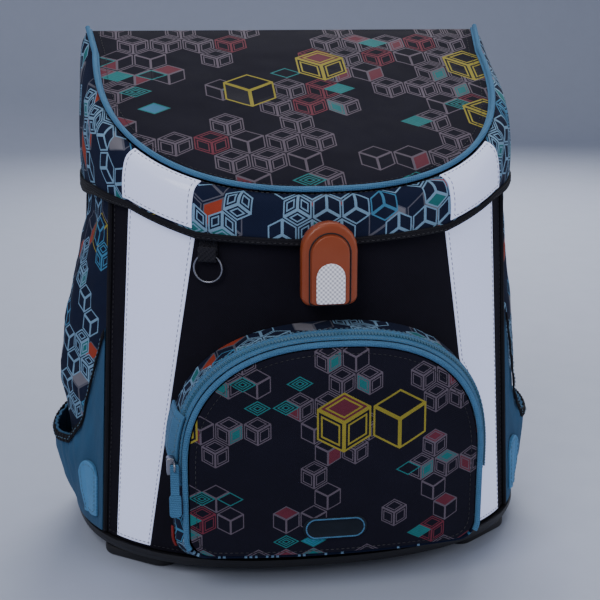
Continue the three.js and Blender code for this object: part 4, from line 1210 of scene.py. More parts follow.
    def bright_print(self, name, seed, shift=(0, 0, 0)):
        """The sides' and band's cloth: pale framed cubes with warm and light faces on deep blue."""
        inks, plain = settings("print"), tuple(settings("cloth").side_ground)
        muted = dict(
            cell=inks.side_cell * 1.4, line=0.03, density=0.4, seed=seed + 5.0, outline=(0.1, 0.1, 0.13),
            accent=tuple(inks.yellow), fill_one=tuple(inks.orange), fill_two=(0.2, 0.19, 0.22),
            fill_share=0.85,
        )
        cubes = dict(
            cell=inks.side_cell, line=0.05, density=0.56, seed=seed, outline=tuple(inks.white),
            accent=tuple(inks.azure), fill_one=tuple(inks.teal), fill_two=plain, fill_share=0.3, nested=0.25,
        )
        layers = (((0, 0, 0), muted), (self.half_cell(inks.side_cell), cubes))
        return self.fabric(
            name, lambda w, vector: self.screens(w, vector, plain, layers), source="wrap", shift=shift
        )

    def half_cell(self, cell):
        """A shift that sets one screen's cubes between another's."""
        return (cell * 0.5, cell * 0.29, 0.0)

    def lid_print(self):
        return self.dark_print(
            "lid print", turn=(-LID_SLOPE, 0, 0), shift=(0.006, 0.004, 0), seed=11.0, density=0.57,
            cell=settings("print").cell, big_seed=4.0, big_shift=(0.01, -0.004, 0), big_density=0.12,
        )

    def pocket_print(self):
        return self.dark_print(
            "pocket print", turn=(-math.pi / 2, 0, 0), shift=(0.01, 0.002, 0), seed=23.0, density=0.47,
            cell=settings("print").pocket_cell, big_seed=9.0, big_shift=(-0.02, -0.066, 0), big_density=0.25,
        )

    def film(self):
        """Silver-grey reflective film with a fine honeycomb and a painted glow."""
        name = "reflective film"
        if name in self.made:
            return self.made[name]
        material, w, shader, vector = self.start(name, "wrap")
        inputs = {"Vector": vector, "Scale": 330.0, "Randomness": 0.0}
        comb = w.fill("ShaderNodeTexVoronoi", inputs, feature="DISTANCE_TO_EDGE")
        cell = w.math("MINIMUM", w.math("MULTIPLY", comb.outputs["Distance"], 5.0), 1.0)
        marks = w.group(self.grain, vector=vector, scale=500.0)["Marks"]
        grey = w.math("MULTIPLY_ADD", cell, -0.18, w.math("MULTIPLY", marks, 0.1))
        # Its glow is painted: emission that stands in for the light that the film sends back.
        self.shine(w, shader, w.mix(grey, (0.62, 0.67, 0.93), (0.46, 0.48, 0.64)), painted_glow=0.5, coat=0.35)
        w.feed(shader.inputs["Roughness"], w.math("MULTIPLY_ADD", marks, 0.1, 0.3))
        self.bump(w, shader, cell, 0.25, 0.0002)
        return material

    def window(self):
        """The clasp's small reflector, ruled both ways with slanting lines, with a painted glow."""
        name, rule = "clasp window", 2 * math.pi / 0.003
        if name in self.made:
            return self.made[name]
        material, w, shader, vector = self.start(name, "object", turn=(-math.pi / 2, 0, 0))
        x, y, _ = w.split(vector)
        lines = [w.math("SINE", w.math("MULTIPLY", w.math(way, x, y), rule)) for way in ("ADD", "SUBTRACT")]
        hatch = w.math("MULTIPLY_ADD", w.math("ADD", *lines), 0.25, 0.5)
        # Its glow is painted: emission that makes the reflector bright though it is no lamp.
        self.shine(w, shader, w.mix(hatch, (0.26, 0.26, 0.32), (0.8, 0.8, 0.88)), painted_glow=0.45, coat=0.5)
        shader.inputs["Roughness"].default_value = 0.25
        self.bump(w, shader, hatch, 0.4, 0.0003)
        return material

    def orange(self):
        return self.hard("orange plastic", (0.3, 0.052, 0.012), 0.36, scale=1400.0, strength=0.06, coat=0.1,
                         worn=(0.6, 0.25, 0.12))

    def plastic(self):
        return self.hard("black plastic", (0.0085, 0.008, 0.011), 0.5, scale=1100.0, strength=0.35,
                         worn=(0.06, 0.06, 0.07))

    def steel(self):
        return self.hard("plated steel", (0.32, 0.32, 0.36), 0.28, scale=700.0, strength=0.05, metallic=1.0,
                         worn=(0.2, 0.2, 0.22))

    def zip_teeth(self):
        return self.hard("zip teeth", (0.05, 0.15, 0.23), 0.4, scale=1500.0, strength=0.05)

    def red(self):
        return self.fabric("red tape", (0.27, 0.022, 0.02), source="wrap", texture="ribs", pitch=0.0011)

    def badge_tape(self):
        return self.fabric("badge cloth", (0.012, 0.016, 0.024), source="wrap", pitch=0.0011)

    def floor(self):
        tone = settings("stage").floor
        return self.hard("pale floor", tone, 0.75, scale=60.0, strength=0.03, worn=tinted(tone, 0.96),
                         wear=0.5)


@cache
def finishes():
    """The one set of finishes, made when it is first asked for."""
    return Finishes()


# ---------------------------------------------------------------- repeats along seams


def repeat_tree(name, tooth):
    """Geometry nodes that set a stitch or a zip tooth at even distances along edges."""
    tree = bpy.data.node_groups.new(name, "GeometryNodeTree")
    for label, kind in (
        ("Geometry", "NodeSocketGeometry"), ("Pitch", "NodeSocketFloat"), ("Length", "NodeSocketFloat"),
        ("Width", "NodeSocketFloat"), ("Height", "NodeSocketFloat"), ("Material", "NodeSocketMaterial"),
    ):
        tree.interface.new_socket(label, in_out="INPUT", socket_type=kind)
    tree.interface.new_socket("Geometry", in_out="OUTPUT", socket_type="NodeSocketGeometry")
    w = Wires(tree)
    given = w.put("NodeGroupInput").outputs
    if tooth:
        shape = w.put("GeometryNodeMeshCube").outputs["Mesh"]
    else:
        ball = {"Segments": 6, "Rings": 4, "Radius": 0.5}
        shape = w.fill("GeometryNodeMeshUVSphere", ball).outputs["Mesh"]
    size = w.merge(given["Length"], given["Width"], given["Height"])
    sized = w.fill("GeometryNodeTransform", {"Geometry": shape, "Scale": size})
    line = w.put("GeometryNodeMeshToCurve", given["Geometry"]).outputs["Curve"]
    even = w.fill("GeometryNodeResampleCurve", {"Curve": line, "Length": given["Pitch"]}, mode="LENGTH")
    tangent = w.put("GeometryNodeInputTangent").outputs[0]
    turn = w.fill("FunctionNodeAlignRotationToVector", {"Vector": tangent}, axis="X")
    spread = w.fill("GeometryNodeInstanceOnPoints", {
        "Points": even.outputs["Curve"], "Instance": sized.outputs["Geometry"],
        "Rotation": turn.outputs["Rotation"],
    })
    solid = w.put("GeometryNodeRealizeInstances", spread.outputs["Instances"]).outputs["Geometry"]
    painted = w.fill("GeometryNodeSetMaterial", {"Geometry": solid, "Material": given["Material"]})
    w.feed(w.put("NodeGroupOutput").inputs["Geometry"], painted.outputs["Geometry"])
    return tree


def repeat_along(name, paths, material, pitch, size, tooth=False):
    """One piece of stitches or teeth along paths in millimetres."""
    key = "zip teeth" if tooth else "stitches"
    tree = bpy.data.node_groups.get(key) or repeat_tree(key, tooth)
    points, edges = [], []
    for path in paths:
        start = len(points)
        points += [tuple(point) for point in to_row(path)]
        edges += [(start + i, start + i + 1) for i in range(len(path) - 1)]
    mesh = bpy.data.meshes.new(name)
    mesh.from_pydata(points, edges, [])
    piece = add_object(name, mesh)
    modifier = piece.modifiers.new("repeat", "NODES")
    modifier.node_group = tree
    values = {"Pitch": pitch, "Length": size[0], "Width": size[1], "Height": size[2], "Material": material}
    for item in tree.interface.items_tree:
        if item.item_type == "SOCKET" and item.in_out == "INPUT" and item.name in values:
            modifier[item.identifier] = values[item.name]
    freeze(piece)
    set_faces(piece.data, "use_smooth", not tooth)
    return piece


def stitches(name, paths, material, slot):
    seams = settings("seams")
    size = (seams.stitch_length, seams.thread, seams.thread)
    return finish_piece(repeat_along(name, paths, material, seams.stitch_pitch, size), slot)


def seam(surface, us, vs, lift, heart=HEART, fan=False, relief=None):
    """A line over a surface, at shares along and across it, lifted off it."""
    us, vs = np.broadcast_arrays(np.asarray(us, float), np.asarray(vs, float))
    points = surface(us, vs)
    height = lift + (relief(us, vs, points) if relief else 0)
    return points + normals_of(surface, us, vs, heart, fan) * np.reshape(height, (-1, 1))


SEAM_POINTS = 160


def line(low=0.0, high=1.0, count=SEAM_POINTS):
    return np.linspace(low, high, count)


def border(surface, inset_u, inset_v, lift, u=(0, 1), v=(0, 1), **how):
    """A closed line just inside a patch's four edges."""
    low_u, high_u = lerp(*u, inset_u), lerp(*u, 1 - inset_u)
    low_v, high_v = lerp(*v, inset_v), lerp(*v, 1 - inset_v)
    still = np.ones(SEAM_POINTS)
    us = np.concatenate((line(low_u, high_u), high_u * still, line(high_u, low_u), low_u * still))
    vs = np.concatenate((low_v * still, line(low_v, high_v), high_v * still, line(high_v, low_v)))
    return seam(surface, us, vs, lift, **how)


# ---------------------------------------------------------------- pieces


class SatchelOperator:
    """What the operators share."""

    bl_options = {"REGISTER", "UNDO"}


def front_relief(u, v, points):
    return np.minimum(crumple(points, 70, 0.5, 3), 0.2)


def side_relief(side):
    def relief(u, v, points):
        depth = settings("cloth").wrinkle / MM
        folds = crumple(points, 46, depth, 5 + side, stretch=(1, 1, 1.7))
        fine = crumple(points, 17, 0.25 * depth, 9 + side)
        edge = np.clip(12 * np.minimum(u, 1 - u), 0, 1) * np.clip(10 * np.minimum(v, 1 - v), 0, 1)
        under = np.clip((points[..., 2] - mouth_height(u)) / 20, 0.25, 1)
        return (folds + fine - 0.35 * depth) * edge * under

    return relief


class SATCHEL_OT_case(SatchelOperator, bpy.types.Operator):
    """Makes the case's front, sides and back and the binding of their seams"""

    bl_idname = "satchel.case"
    bl_label = "Case"

    def execute(self, context):
        finish = finishes()
        front = shell("front_cloth", front_surface, (96, 44), -WALL, 0, finish.navy(), relief=front_relief)
        finish_piece(front, "body_cloth", "front_panel")
        back = shell("back_cloth", back_surface, (96, 40), -WALL, 0, finish.navy())
        finish_piece(back, "body_cloth", "back_panel")
        for label, side in SIDES:
            surface = side_surface(side)
            cloth = finish.bright_print(f"side print {label}", 31.0 + side, (0, 0.01 * side, 0))
            panel = shell(f"side_cloth_{label}", surface, (56, 96), -WALL, 0, cloth, relief=side_relief(side))
            finish_piece(panel, "print_cloth", f"side_panel_{label}")
            height = line(PANEL_FOOT + 1, hem_height(0.45) + 10, 90)
            for name, path, radius in (
                ("corner", front_point(side * SEAM, height, 0.9), 2.0),
                ("back", place(side * (case_half(height) + 0.4), SIDE_BACK, height), 1.8),
            ):
                piping = cord(f"{name}_piping_{label}", path, radius, finish.black_tape())
                finish_piece(piping, "black_trim")
        edges = [
            seam(front_surface, share, line(0.01, 0.9), 0.35, relief=front_relief) for share in (0.015, 0.985)
        ]
        edges.append(seam(front_surface, line(0.02, 0.98, 400), 0.012, 0.35, relief=front_relief))
        stitches("case_stitches", edges, finish.thread("dark"), "body_cloth")
        return {"FINISHED"}


class SATCHEL_OT_base(SatchelOperator, bpy.types.Operator):
    """Makes the moulded base and its four feet"""

    bl_idname = "satchel.base"
    bl_label = "Base"

    def execute(self, context):
        finish = finishes()
        tray = shell(
            "base_shell", tray_surface, (192, 25), -TRAY_WALL, 0, finish.plastic(), fan=True, edge=0.0008
        )
        finish_piece(tray, "black_plastic", "base_tray")
        outline = rounded_box(FOOT_LENGTH / 2, FOOT_WIDTH / 2, FOOT_WIDTH / 2 - 1.5, 9)
        for label, side in SIDES:
            for end, turn in (("front", 0.6), ("back", -0.6)):
                node = f"foot_{end}_{label}"
                low, high = (np.array(corner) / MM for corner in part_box(node))
                angle = side * turn * SEAM
                across, along = (math.cos(angle), math.sin(angle), 0), (-math.sin(angle), math.cos(angle), 0)
                form = slab(outline, high[2] - low[2], (low + high) / 2, across, along)
                foot = moulded(f"{node}_moulded", form, finish.plastic(), origin=0, edge=0.0026, segments=5)
                finish_piece(foot, "black_plastic", node)
        return {"FINISHED"}


def pocket_relief(side):
    """Gathers under the elastic hem and loose cloth below them."""
    def relief(u, v, points):
        below = (mouth_height(u) - points[..., 2]) / 26
        gather = np.exp(-np.maximum(below, 0)) * np.sin(u * 105 + 2 * np.sin(u * 23))
        loose = crumple(points, 30, 1.9, 15 + side, stretch=(1, 1, 2.2))
        edge = np.clip(10 * np.minimum(u, 1 - u), 0, 1) * np.clip(8 * (1 - v), 0, 1)
        return np.minimum((0.8 * gather + loose) * edge, 1.6)

    return relief


def level(height):
    """An edge at one height."""
    return lambda u: height + 0 * u


def hem_top(u):
    return mouth_height(u) - 0.5


def hem_foot(u):
    return hem_top(u) - SIDE_HEM


def hem_ruffle(u, v, points):
    return 0.35 * np.sin(u * 170) + 0.5 * np.sin(np.pi * v)


PLEAT_START = 0.04
PLEAT_REACH = PLEAT_WIDTH / (SIDE_BACK - SEAM_Y)


def pleat_top(u):
    arch = 0.25 * np.abs(2 * (u - PLEAT_START) / PLEAT_REACH - 1) ** 2.5
    return PLEAT_FOOT + PLEAT_HEIGHT * (1 - arch)


def pleat_fold(u, v, points):
    return 1.1 * np.abs(np.sin(1.5 * np.pi * (u - PLEAT_START) / PLEAT_REACH)) - 0.3


class SATCHEL_OT_side_pockets(SatchelOperator, bpy.types.Operator):
    """Makes the two side pockets with their elastic hems and pleats"""

    bl_idname = "satchel.side_pockets"
    bl_label = "Side pockets"

    def execute(self, context):
        for label, side in SIDES:
            self.pocket(finishes(), label, side)
        return {"FINISHED"}

    def pocket(self, finish, label, side):
        relief = pocket_relief(side)
        cloth = shell(
            f"side_pocket_{label}_cloth", side_pocket_surface(side, mouth_height, level(SIDE_POCKET_FOOT)),
            (72, 44), -SIDE_POCKET_WALL, 0, finish.sky_cloth(), relief=relief,
            back_relief=lambda u, v, points: np.maximum(relief(u, v, points), -0.3),
        )
        finish_piece(cloth, "sky_cloth", f"side_pocket_{label}")
        hem_surface = side_pocket_surface(side, hem_top, hem_foot)
        lift = 1.6 * LAP
        hem = shell(
            f"pocket_hem_{label}_tape", hem_surface, (150, 8), lift, lift + 1, finish.black_tape(),
            relief=hem_ruffle,
        )
        finish_piece(hem, "black_trim", f"pocket_hem_{label}")
        pleat_surface = side_pocket_surface(side, pleat_top, level(PLEAT_FOOT))
        span = (PLEAT_START, PLEAT_START + PLEAT_REACH)
        pleat = shell(
            f"pocket_pleat_{label}_fold", pleat_surface, (28, 28), LAP, LAP + 1.6, finish.light_tape(),
            u=span, relief=pleat_fold,
        )
        finish_piece(pleat, "sky_cloth", f"pocket_pleat_{label}")
        lines = [
            seam(hem_surface, line(0.01, 0.99, 300), 0.5, lift + 1.4, relief=hem_ruffle),
            border(pleat_surface, 0.12, 0.07, LAP + 1.8, u=span, relief=pleat_fold),
        ]
        stitches(f"side_pocket_{label}_stitches", lines, finish.thread("light"), "sky_cloth")


def lid_relief(u, v, points):
    crown = settings("padding").crown / MM
    edge = 1 - np.clip((np.asarray(v) - 0.9) / 0.1, 0, 1) ** 2
    rise = crown * (1 - np.asarray(v) ** 5) * edge
    return rise + np.clip(crumple(points, 55, 0.7, 21), -0.5, 0.7) * (1 - np.asarray(v) ** 8)


def band_relief(u, v, points):
    return np.clip(crumple(points, 40, 0.5, 27), -0.5, 0.1) * np.clip(8 * np.minimum(v, 1 - v), 0, 1)


# Share down the band at which its binding begins.
BINDING_SHARE = 5 / 6


def binding_relief(u, v, points):
    return 0.5 * np.sin(np.pi * np.clip((v - BINDING_SHARE) / (1 - BINDING_SHARE), 0, 1)) - 0.2


def film_span(side):
    spread = [LID_SHARE * angle / 90 / 2 for angle in (FILM_INNER_TOP, FILM_OUTER_TOP)]
    span = [0.5 + side * share for share in spread]
    return tuple(span) if side > 0 else tuple(reversed(span))


BAND_FILM = (1 / 18, BINDING_SHARE - 1 / 25)


class SATCHEL_OT_lid(SatchelOperator, bpy.types.Operator):
    """Makes the padded lid, its piping, its band and the band's binding"""

    bl_idname = "satchel.lid"
    bl_label = "Lid"

    def execute(self, context):
        finish = finishes()
        top = shell(
            "lid_cloth", lid_surface, (192, 56), -LID_WALL, 0, finish.lid_print(), fan=True, relief=lid_relief
        )
        finish_piece(top, "print_cloth", "lid_top", fill=0.9)
        band = shell(
            "lid_band_cloth", band_surface, (220, 22), -BAND_WALL, 0, finish.bright_print("band print", 47.0),
            relief=band_relief,
        )
        finish_piece(band, "print_cloth", "lid_band")
        binding = shell(
            "lid_binding_tape", band_surface, (220, 6), LAP - 0.4, LAP + BINDING_THICK, finish.black_tape(),
            v=(BINDING_SHARE, 1), relief=binding_relief,
        )
        finish_piece(binding, "black_trim", "lid_binding")
        path = lid_edge(line(-1, 1, 260), PIPING_RADIUS / 2)
        path[:, 2] = lid_height(path[:, 1]) + PIPING_RADIUS / math.cos(LID_SLOPE)
        piping = cord("lid_piping_cord", path, PIPING_RADIUS, finish.sky_cord(), sides=12)
        finish_piece(piping, "sky_cloth", "lid_piping")
        flange = lid_edge(line(-1, 1, 260), LID_INSET / 2 + 0.9)
        flange[:, 2] = lid_height(flange[:, 1]) + 0.55
        tape = cord("lid_piping_flange", flange, 1.5, finish.sky_cord(), sides=8, flat=0.45)
        finish_piece(tape, "sky_cloth")
        reach = LID_BACK_WIDTH / 2 - 1
        edge = [(x, BACK + 0.1, lid_height(BACK) - LID_WALL * 0.52) for x in np.linspace(-reach, reach, 40)]
        back = cord("lid_back_binding", edge, 2.9, finish.black_tape(), sides=12, flat=0.28)
        finish_piece(back, "black_trim")
        around = line(0.003, EDGE_SHARE - 0.003, 500)
        stitches(
            "lid_stitches", [seam(lid_surface, around, 0.962, 0.15, fan=True, relief=lid_relief)],
            finish.thread("dark"), "print_cloth",
        )
        lines = [
            seam(band_surface, line(0.004, 0.996, 600), 0.93, LAP + BINDING_THICK + 0.35),
            seam(band_surface, line(0.004, 0.996, 600), 0.03, 0.3),
        ]
        stitches("band_stitches", lines, finish.thread("dark"), "black_trim")
        return {"FINISHED"}


class SATCHEL_OT_reflectors(SatchelOperator, bpy.types.Operator):
    """Makes the reflective film on the lid's band and on the case's front corners"""

    bl_idname = "satchel.reflectors"
    bl_label = "Reflectors"

    def execute(self, context):
        finish = finishes()
        lines = []
        for label, side in SIDES:
            span = film_span(side)
            low, high = LAP - 0.3, LAP + FILM_THICK
            patch = shell(
                f"lid_film_{label}", band_surface, (48, 20), low, high, finish.film(), u=span, v=BAND_FILM,
                edge=0.0003,
            )
            finish_piece(patch, "reflective_film", f"lid_reflector_{label}")
            surface = film_surface(side)
            patch = shell(f"body_film_{label}", surface, (32, 72), low, high, finish.film(), edge=0.0003)
            finish_piece(patch, "reflective_film", f"body_reflector_{label}")
            lift = high + 0.1
            lines.append(border(surface, 0.045, 0.008, lift))
            lines.append(border(band_surface, 0.05, 0.07, lift, u=span, v=BAND_FILM))
        stitches("reflector_stitches", lines, finish.thread("grey"), "reflective_film")
        return {"FINISHED"}


class SATCHEL_OT_clasp(SatchelOperator, bpy.types.Operator):
    """Makes the push clasp with its tongue, its window and the groove round them"""

    bl_idname = "satchel.clasp"
    bl_label = "Clasp"

    def execute(self, context):
        finish = finishes()
        for node, name, material, slot, *rounding in (
            ("clasp_body", "clasp_housing", finish.orange(), "orange_plastic", 0.0028, 5, 1),
            ("clasp_tongue", "clasp_button", finish.orange(), "orange_plastic", 0.0009, 4, 1),
            ("clasp_window", "clasp_glass", finish.window(), "reflective_film", 0.0005, 3, 1),
            ("clasp_catch", "clasp_seat", finish.plastic(), "black_plastic", 0.001, 3, 2),
        ):
            finish_piece(rounded_copy(node, name, material, *rounding), slot, node)
        low, high = (np.array(corner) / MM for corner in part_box("clasp_tongue"))
        middle, half = (low[0] + high[0]) / 2, (high[0] - low[0]) / 2
        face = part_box("clasp_body")[0].y / MM
        outline = arch_outline(half + 1.1, low[2] - 0.6, high[2] + 1.1, 3)
        path = [(middle + x, face - 0.12, z) for x, z in outline]
        form = tube(path, 0.45, sides=6, closed=True, up=(0, 1, 0))
        finish_piece(moulded("clasp_groove", form, finish.plastic(), origin=0, sharp=70), "black_plastic")
        return {"FINISHED"}


def face_relief(u, v, points):
    v = np.asarray(v, float)
    return 2.4 * (1 - v**4) + np.clip(crumple(points, 60, 0.9, 33), -0.8, 0.9) * (1 - v**6)


class SATCHEL_OT_front_pocket(SatchelOperator, bpy.types.Operator):
    """Makes the front pocket's face, gusset, piping, badge and side tag"""

    bl_idname = "satchel.front_pocket"
    bl_label = "Front pocket"

    def execute(self, context):
        finish = finishes()
        face = shell(
            "pocket_face_cloth", face_surface, (192, 48), -POCKET_WALL, 0, finish.pocket_print(), fan=True,
            heart=POCKET_HEART, relief=face_relief,
        )
        finish_piece(face, "print_cloth", "pocket_face")
        gusset = shell(
            "pocket_gusset_cloth", gusset_surface, (288, 18), -POCKET_WALL, 0,
            finish.bright_print("gusset print", 53.0), ring=True, heart=POCKET_HEART,
        )
        finish_piece(gusset, "print_cloth", "pocket_gusset")
        path = pocket_outline(line(6 / POCKET_COLUMNS, 42 / POCKET_COLUMNS, 220), -0.6, -0.6)
        path[:, 1] = face_depth(path[:, 0]) + 0.5
        piping = cord("pocket_piping_cord", path, ZIP_PIPING, finish.sky_cord(), sides=12)
        finish_piece(piping, "sky_cloth", "pocket_piping")
        stitches(
            "pocket_stitches",
            [seam(face_surface, line(0.0, 1.0, 600), 0.955, 0.15, POCKET_HEART, True, face_relief)],
            finish.thread("dark"), "print_cloth",
        )
        self.badge(finish, face)
        middle = 41.2 / POCKET_COLUMNS
        reach = 0.8 / POCKET_COLUMNS
        tag = shell(
            "side_tag_tape", gusset_surface, (10, 8), LAP, LAP + 1, finish.red(), heart=POCKET_HEART,
            u=(middle - reach, middle + reach), v=(0.5, 0.9),
            relief=lambda u, v, points: 0.4 * np.sin(np.pi * (v - 0.5) / 0.4),
        )
        finish_piece(tag, "red_tag", "side_tag")
        return {"FINISHED"}

    def badge(self, finish, face):
        """A bare sewn badge that follows the padded face."""
        mesh, steps = face.data, 64
        tree = BVHTree.FromPolygons(
            [vertex.co for vertex in mesh.vertices], [tuple(polygon.vertices) for polygon in mesh.polygons]
        )
        low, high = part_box("pocket_badge")
        middle = (low + high) / 2
        half_width, half_height = (high.x - low.x) / 2, (high.z - low.z) / 2

        def at(x, z, lift):
            hit = tree.ray_cast(Vector((x, low.y - 0.05, z)), Vector((0, 1, 0)))[0]
            return (x, hit.y - lift, z)

        def ring(share, lift):
            points = []
            for k in range(steps):
                angle = 2 * math.pi * k / steps
                x = math.copysign(max(half_width - half_height, 0), math.cos(angle))
                points.append(at(
                    middle.x + share * (x + half_height * math.cos(angle)),
                    middle.z + share * half_height * math.sin(angle), lift,
                ))
            return points

        levels = ((1.0, -0.0003), (1.0, 0.0008), (0.96, 0.0014), (0.84, 0.0015), (0.79, 0.001), (0.4, 0.001))
        points = [point for share, lift in levels for point in ring(share, lift)]
        faces = []
        for row in range(0, len(points) - steps, steps):
            for k in range(steps):
                a, b = row + k, row + (k + 1) % steps
                faces.append((a, b, b + steps, a + steps))
        faces.append(tuple(range(steps - 1, -1, -1)))
        faces.append(tuple(range(len(points) - steps, len(points))))
        uv = [(point[0], point[2]) for point in points]
        badge = new_piece("pocket_badge_patch", points, faces, finish.badge_tape(), uv, sharp=60)
        finish_piece(badge, "black_trim", "pocket_badge")
        rim = (np.array(ring(0.9, 0.0016)) - ORIGIN) / MM
        edge = cord("badge_rim", rim, 0.5, finish.sky_cord(), sides=8, closed=True, up=(0, 1, 0))
        finish_piece(edge, "sky_cloth")


class SATCHEL_OT_zip(SatchelOperator, bpy.types.Operator):
    """Makes the front pocket's zip: tape, teeth, slider, puller and end tab"""

    bl_idname = "satchel.zip"
    bl_label = "Zip"

    def execute(self, context):
        finish, seams = finishes(), settings("seams")
        ends = (11 / POCKET_COLUMNS, 37 / POCKET_COLUMNS)
        top = LAP + ZIP_WALL
        tape = shell(
            "zip_tape", gusset_surface, (200, 10), LAP, top, finish.sky_tape(), u=ends, v=(0.02, 0.31),
            heart=POCKET_HEART, edge=0.0003,
        )
        finish_piece(tape, "sky_cloth", "pocket_zip")
        rows = []
        for share, phase in ((0.155, 0.0), (0.185, 0.5)):
            path = seam(gusset_surface, line(*ends, 500), share, top + 0.45, POCKET_HEART)
            run = run_along(path)
            rows.append(points_at(path, run, line(phase * seams.tooth_pitch / MM, run[-1], 500)))
        size = (seams.tooth * 0.75, seams.tooth, seams.tooth * 0.7)
        teeth = repeat_along("zip_teeth", rows, finish.zip_teeth(), seams.tooth_pitch, size, tooth=True)
        finish_piece(teeth, "sky_cloth")
        lines = [
            seam(gusset_surface, line(*ends, 400), share, top + 0.15, POCKET_HEART) for share in (0.05, 0.28)
        ]
        lines.append(seam(gusset_surface, line(0.0, 1.0, 700), 0.4, 0.2, POCKET_HEART))
        stitches("zip_stitches", lines, finish.thread("light"), "sky_cloth")
        patch = dict(u=(33.2 / POCKET_COLUMNS, 35.6 / POCKET_COLUMNS), v=(0.06, 0.8), heart=POCKET_HEART)
        lift = top + LAP
        tab = shell("zip_tab_tape", gusset_surface, (20, 24), lift, lift + 2, finish.sky_tape(), **patch)
        finish_piece(tab, "sky_cloth", "zip_end_tab")
        edge = border(gusset_surface, 0.14, 0.1, lift + 2.15, **patch)
        stitches("zip_tab_stitches", [edge], finish.thread("light"), "sky_cloth")
        slider = rounded_copy("zip_slider", "zip_slider_body", finish.steel(), 0.0009, 3)
        finish_piece(slider, "steel", "zip_slider")
        self.puller(finish)
        return {"FINISHED"}

    def puller(self, finish):
        """A folded webbing pull with a moulded grip, on a small wire ring."""
        low, high = (np.array(corner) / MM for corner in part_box("zip_puller"))
        middle = (low + high) / 2
        half = (high - low) / 2
        axes = dict(across=(1, 0, 0), up=(0, 0, 1))
        pull = slab(
            rounded_box(half[0] * 0.72, half[2] * 0.8, 1.2), 1.4, middle + (0, 0, half[2] * 0.2), **axes
        )
        grip = slab(rounded_box(half[0], half[2] * 0.42, 2.4), 2.6, middle - (0, 0, half[2] * 0.56), **axes)
        puller = moulded(
            "zip_puller_tape", join((pull, grip)), finish.sky_tape(), origin=0, edge=0.0005, segments=3
        )
        finish_piece(puller, "sky_cloth", "zip_puller")
        ring = [
            (middle[0], middle[1] + 3.2 * math.sin(turn), high[2] - 1.5 + 3.2 * math.cos(turn))
            for turn in np.linspace(0, 2 * math.pi, 24, endpoint=False)
        ]
        form = tube(ring, 0.7, sides=8, closed=True, up=(1, 0, 0))
        finish_piece(moulded("zip_ring", form, finish.steel(), origin=0, sharp=70), "steel")


class SATCHEL_OT_key_ring(SatchelOperator, bpy.types.Operator):
    """Makes the split ring and the webbing loop that holds it"""

    bl_idname = "satchel.key_ring"
    bl_label = "Key ring"

    def execute(self, context):
        finish = finishes()
        lean = math.atan2(
            case_front(RING_X + LOOP_WIDTH, RING_Z) - case_front(RING_X - LOOP_WIDTH, RING_Z), 2 * LOOP_WIDTH
        )
        out = GAP + WEBBING + 1.2 + GAP
        path = []
        for turn in np.linspace(0, 4 * math.pi, 110):
            x, z = RING_RADIUS * math.cos(turn), RING_RADIUS * math.sin(turn)
            y = -out + 1.15 * (turn / (4 * math.pi) - 0.5)
            path.append((
                RING_X + x * math.cos(lean) - y * math.sin(lean),
                float(case_front(RING_X, RING_Z)) - GAP + x * math.sin(lean) + y * math.cos(lean),
                RING_Z + z,
            ))
        ring = cord("key_ring_wire", path, 0.62, finish.steel(), sides=8, up=(0, 1, 0))
        finish_piece(ring, "steel", "key_ring")
        loop = rounded_copy("ring_loop", "ring_loop_tape", finish.black_mesh(), 0.0004, 2)
        finish_piece(loop, "black_trim", "ring_loop")
        return {"FINISHED"}


PAD_CORNER, PAD_RIM, PAD_SWELL_ROOM = 0.03, 0.012, 0.0045
CHANNEL_SPINE, CHANNEL_DEPTH = 0.016, 0.0045


def dip(far, width):
    return math.exp(-((far / width) ** 2))


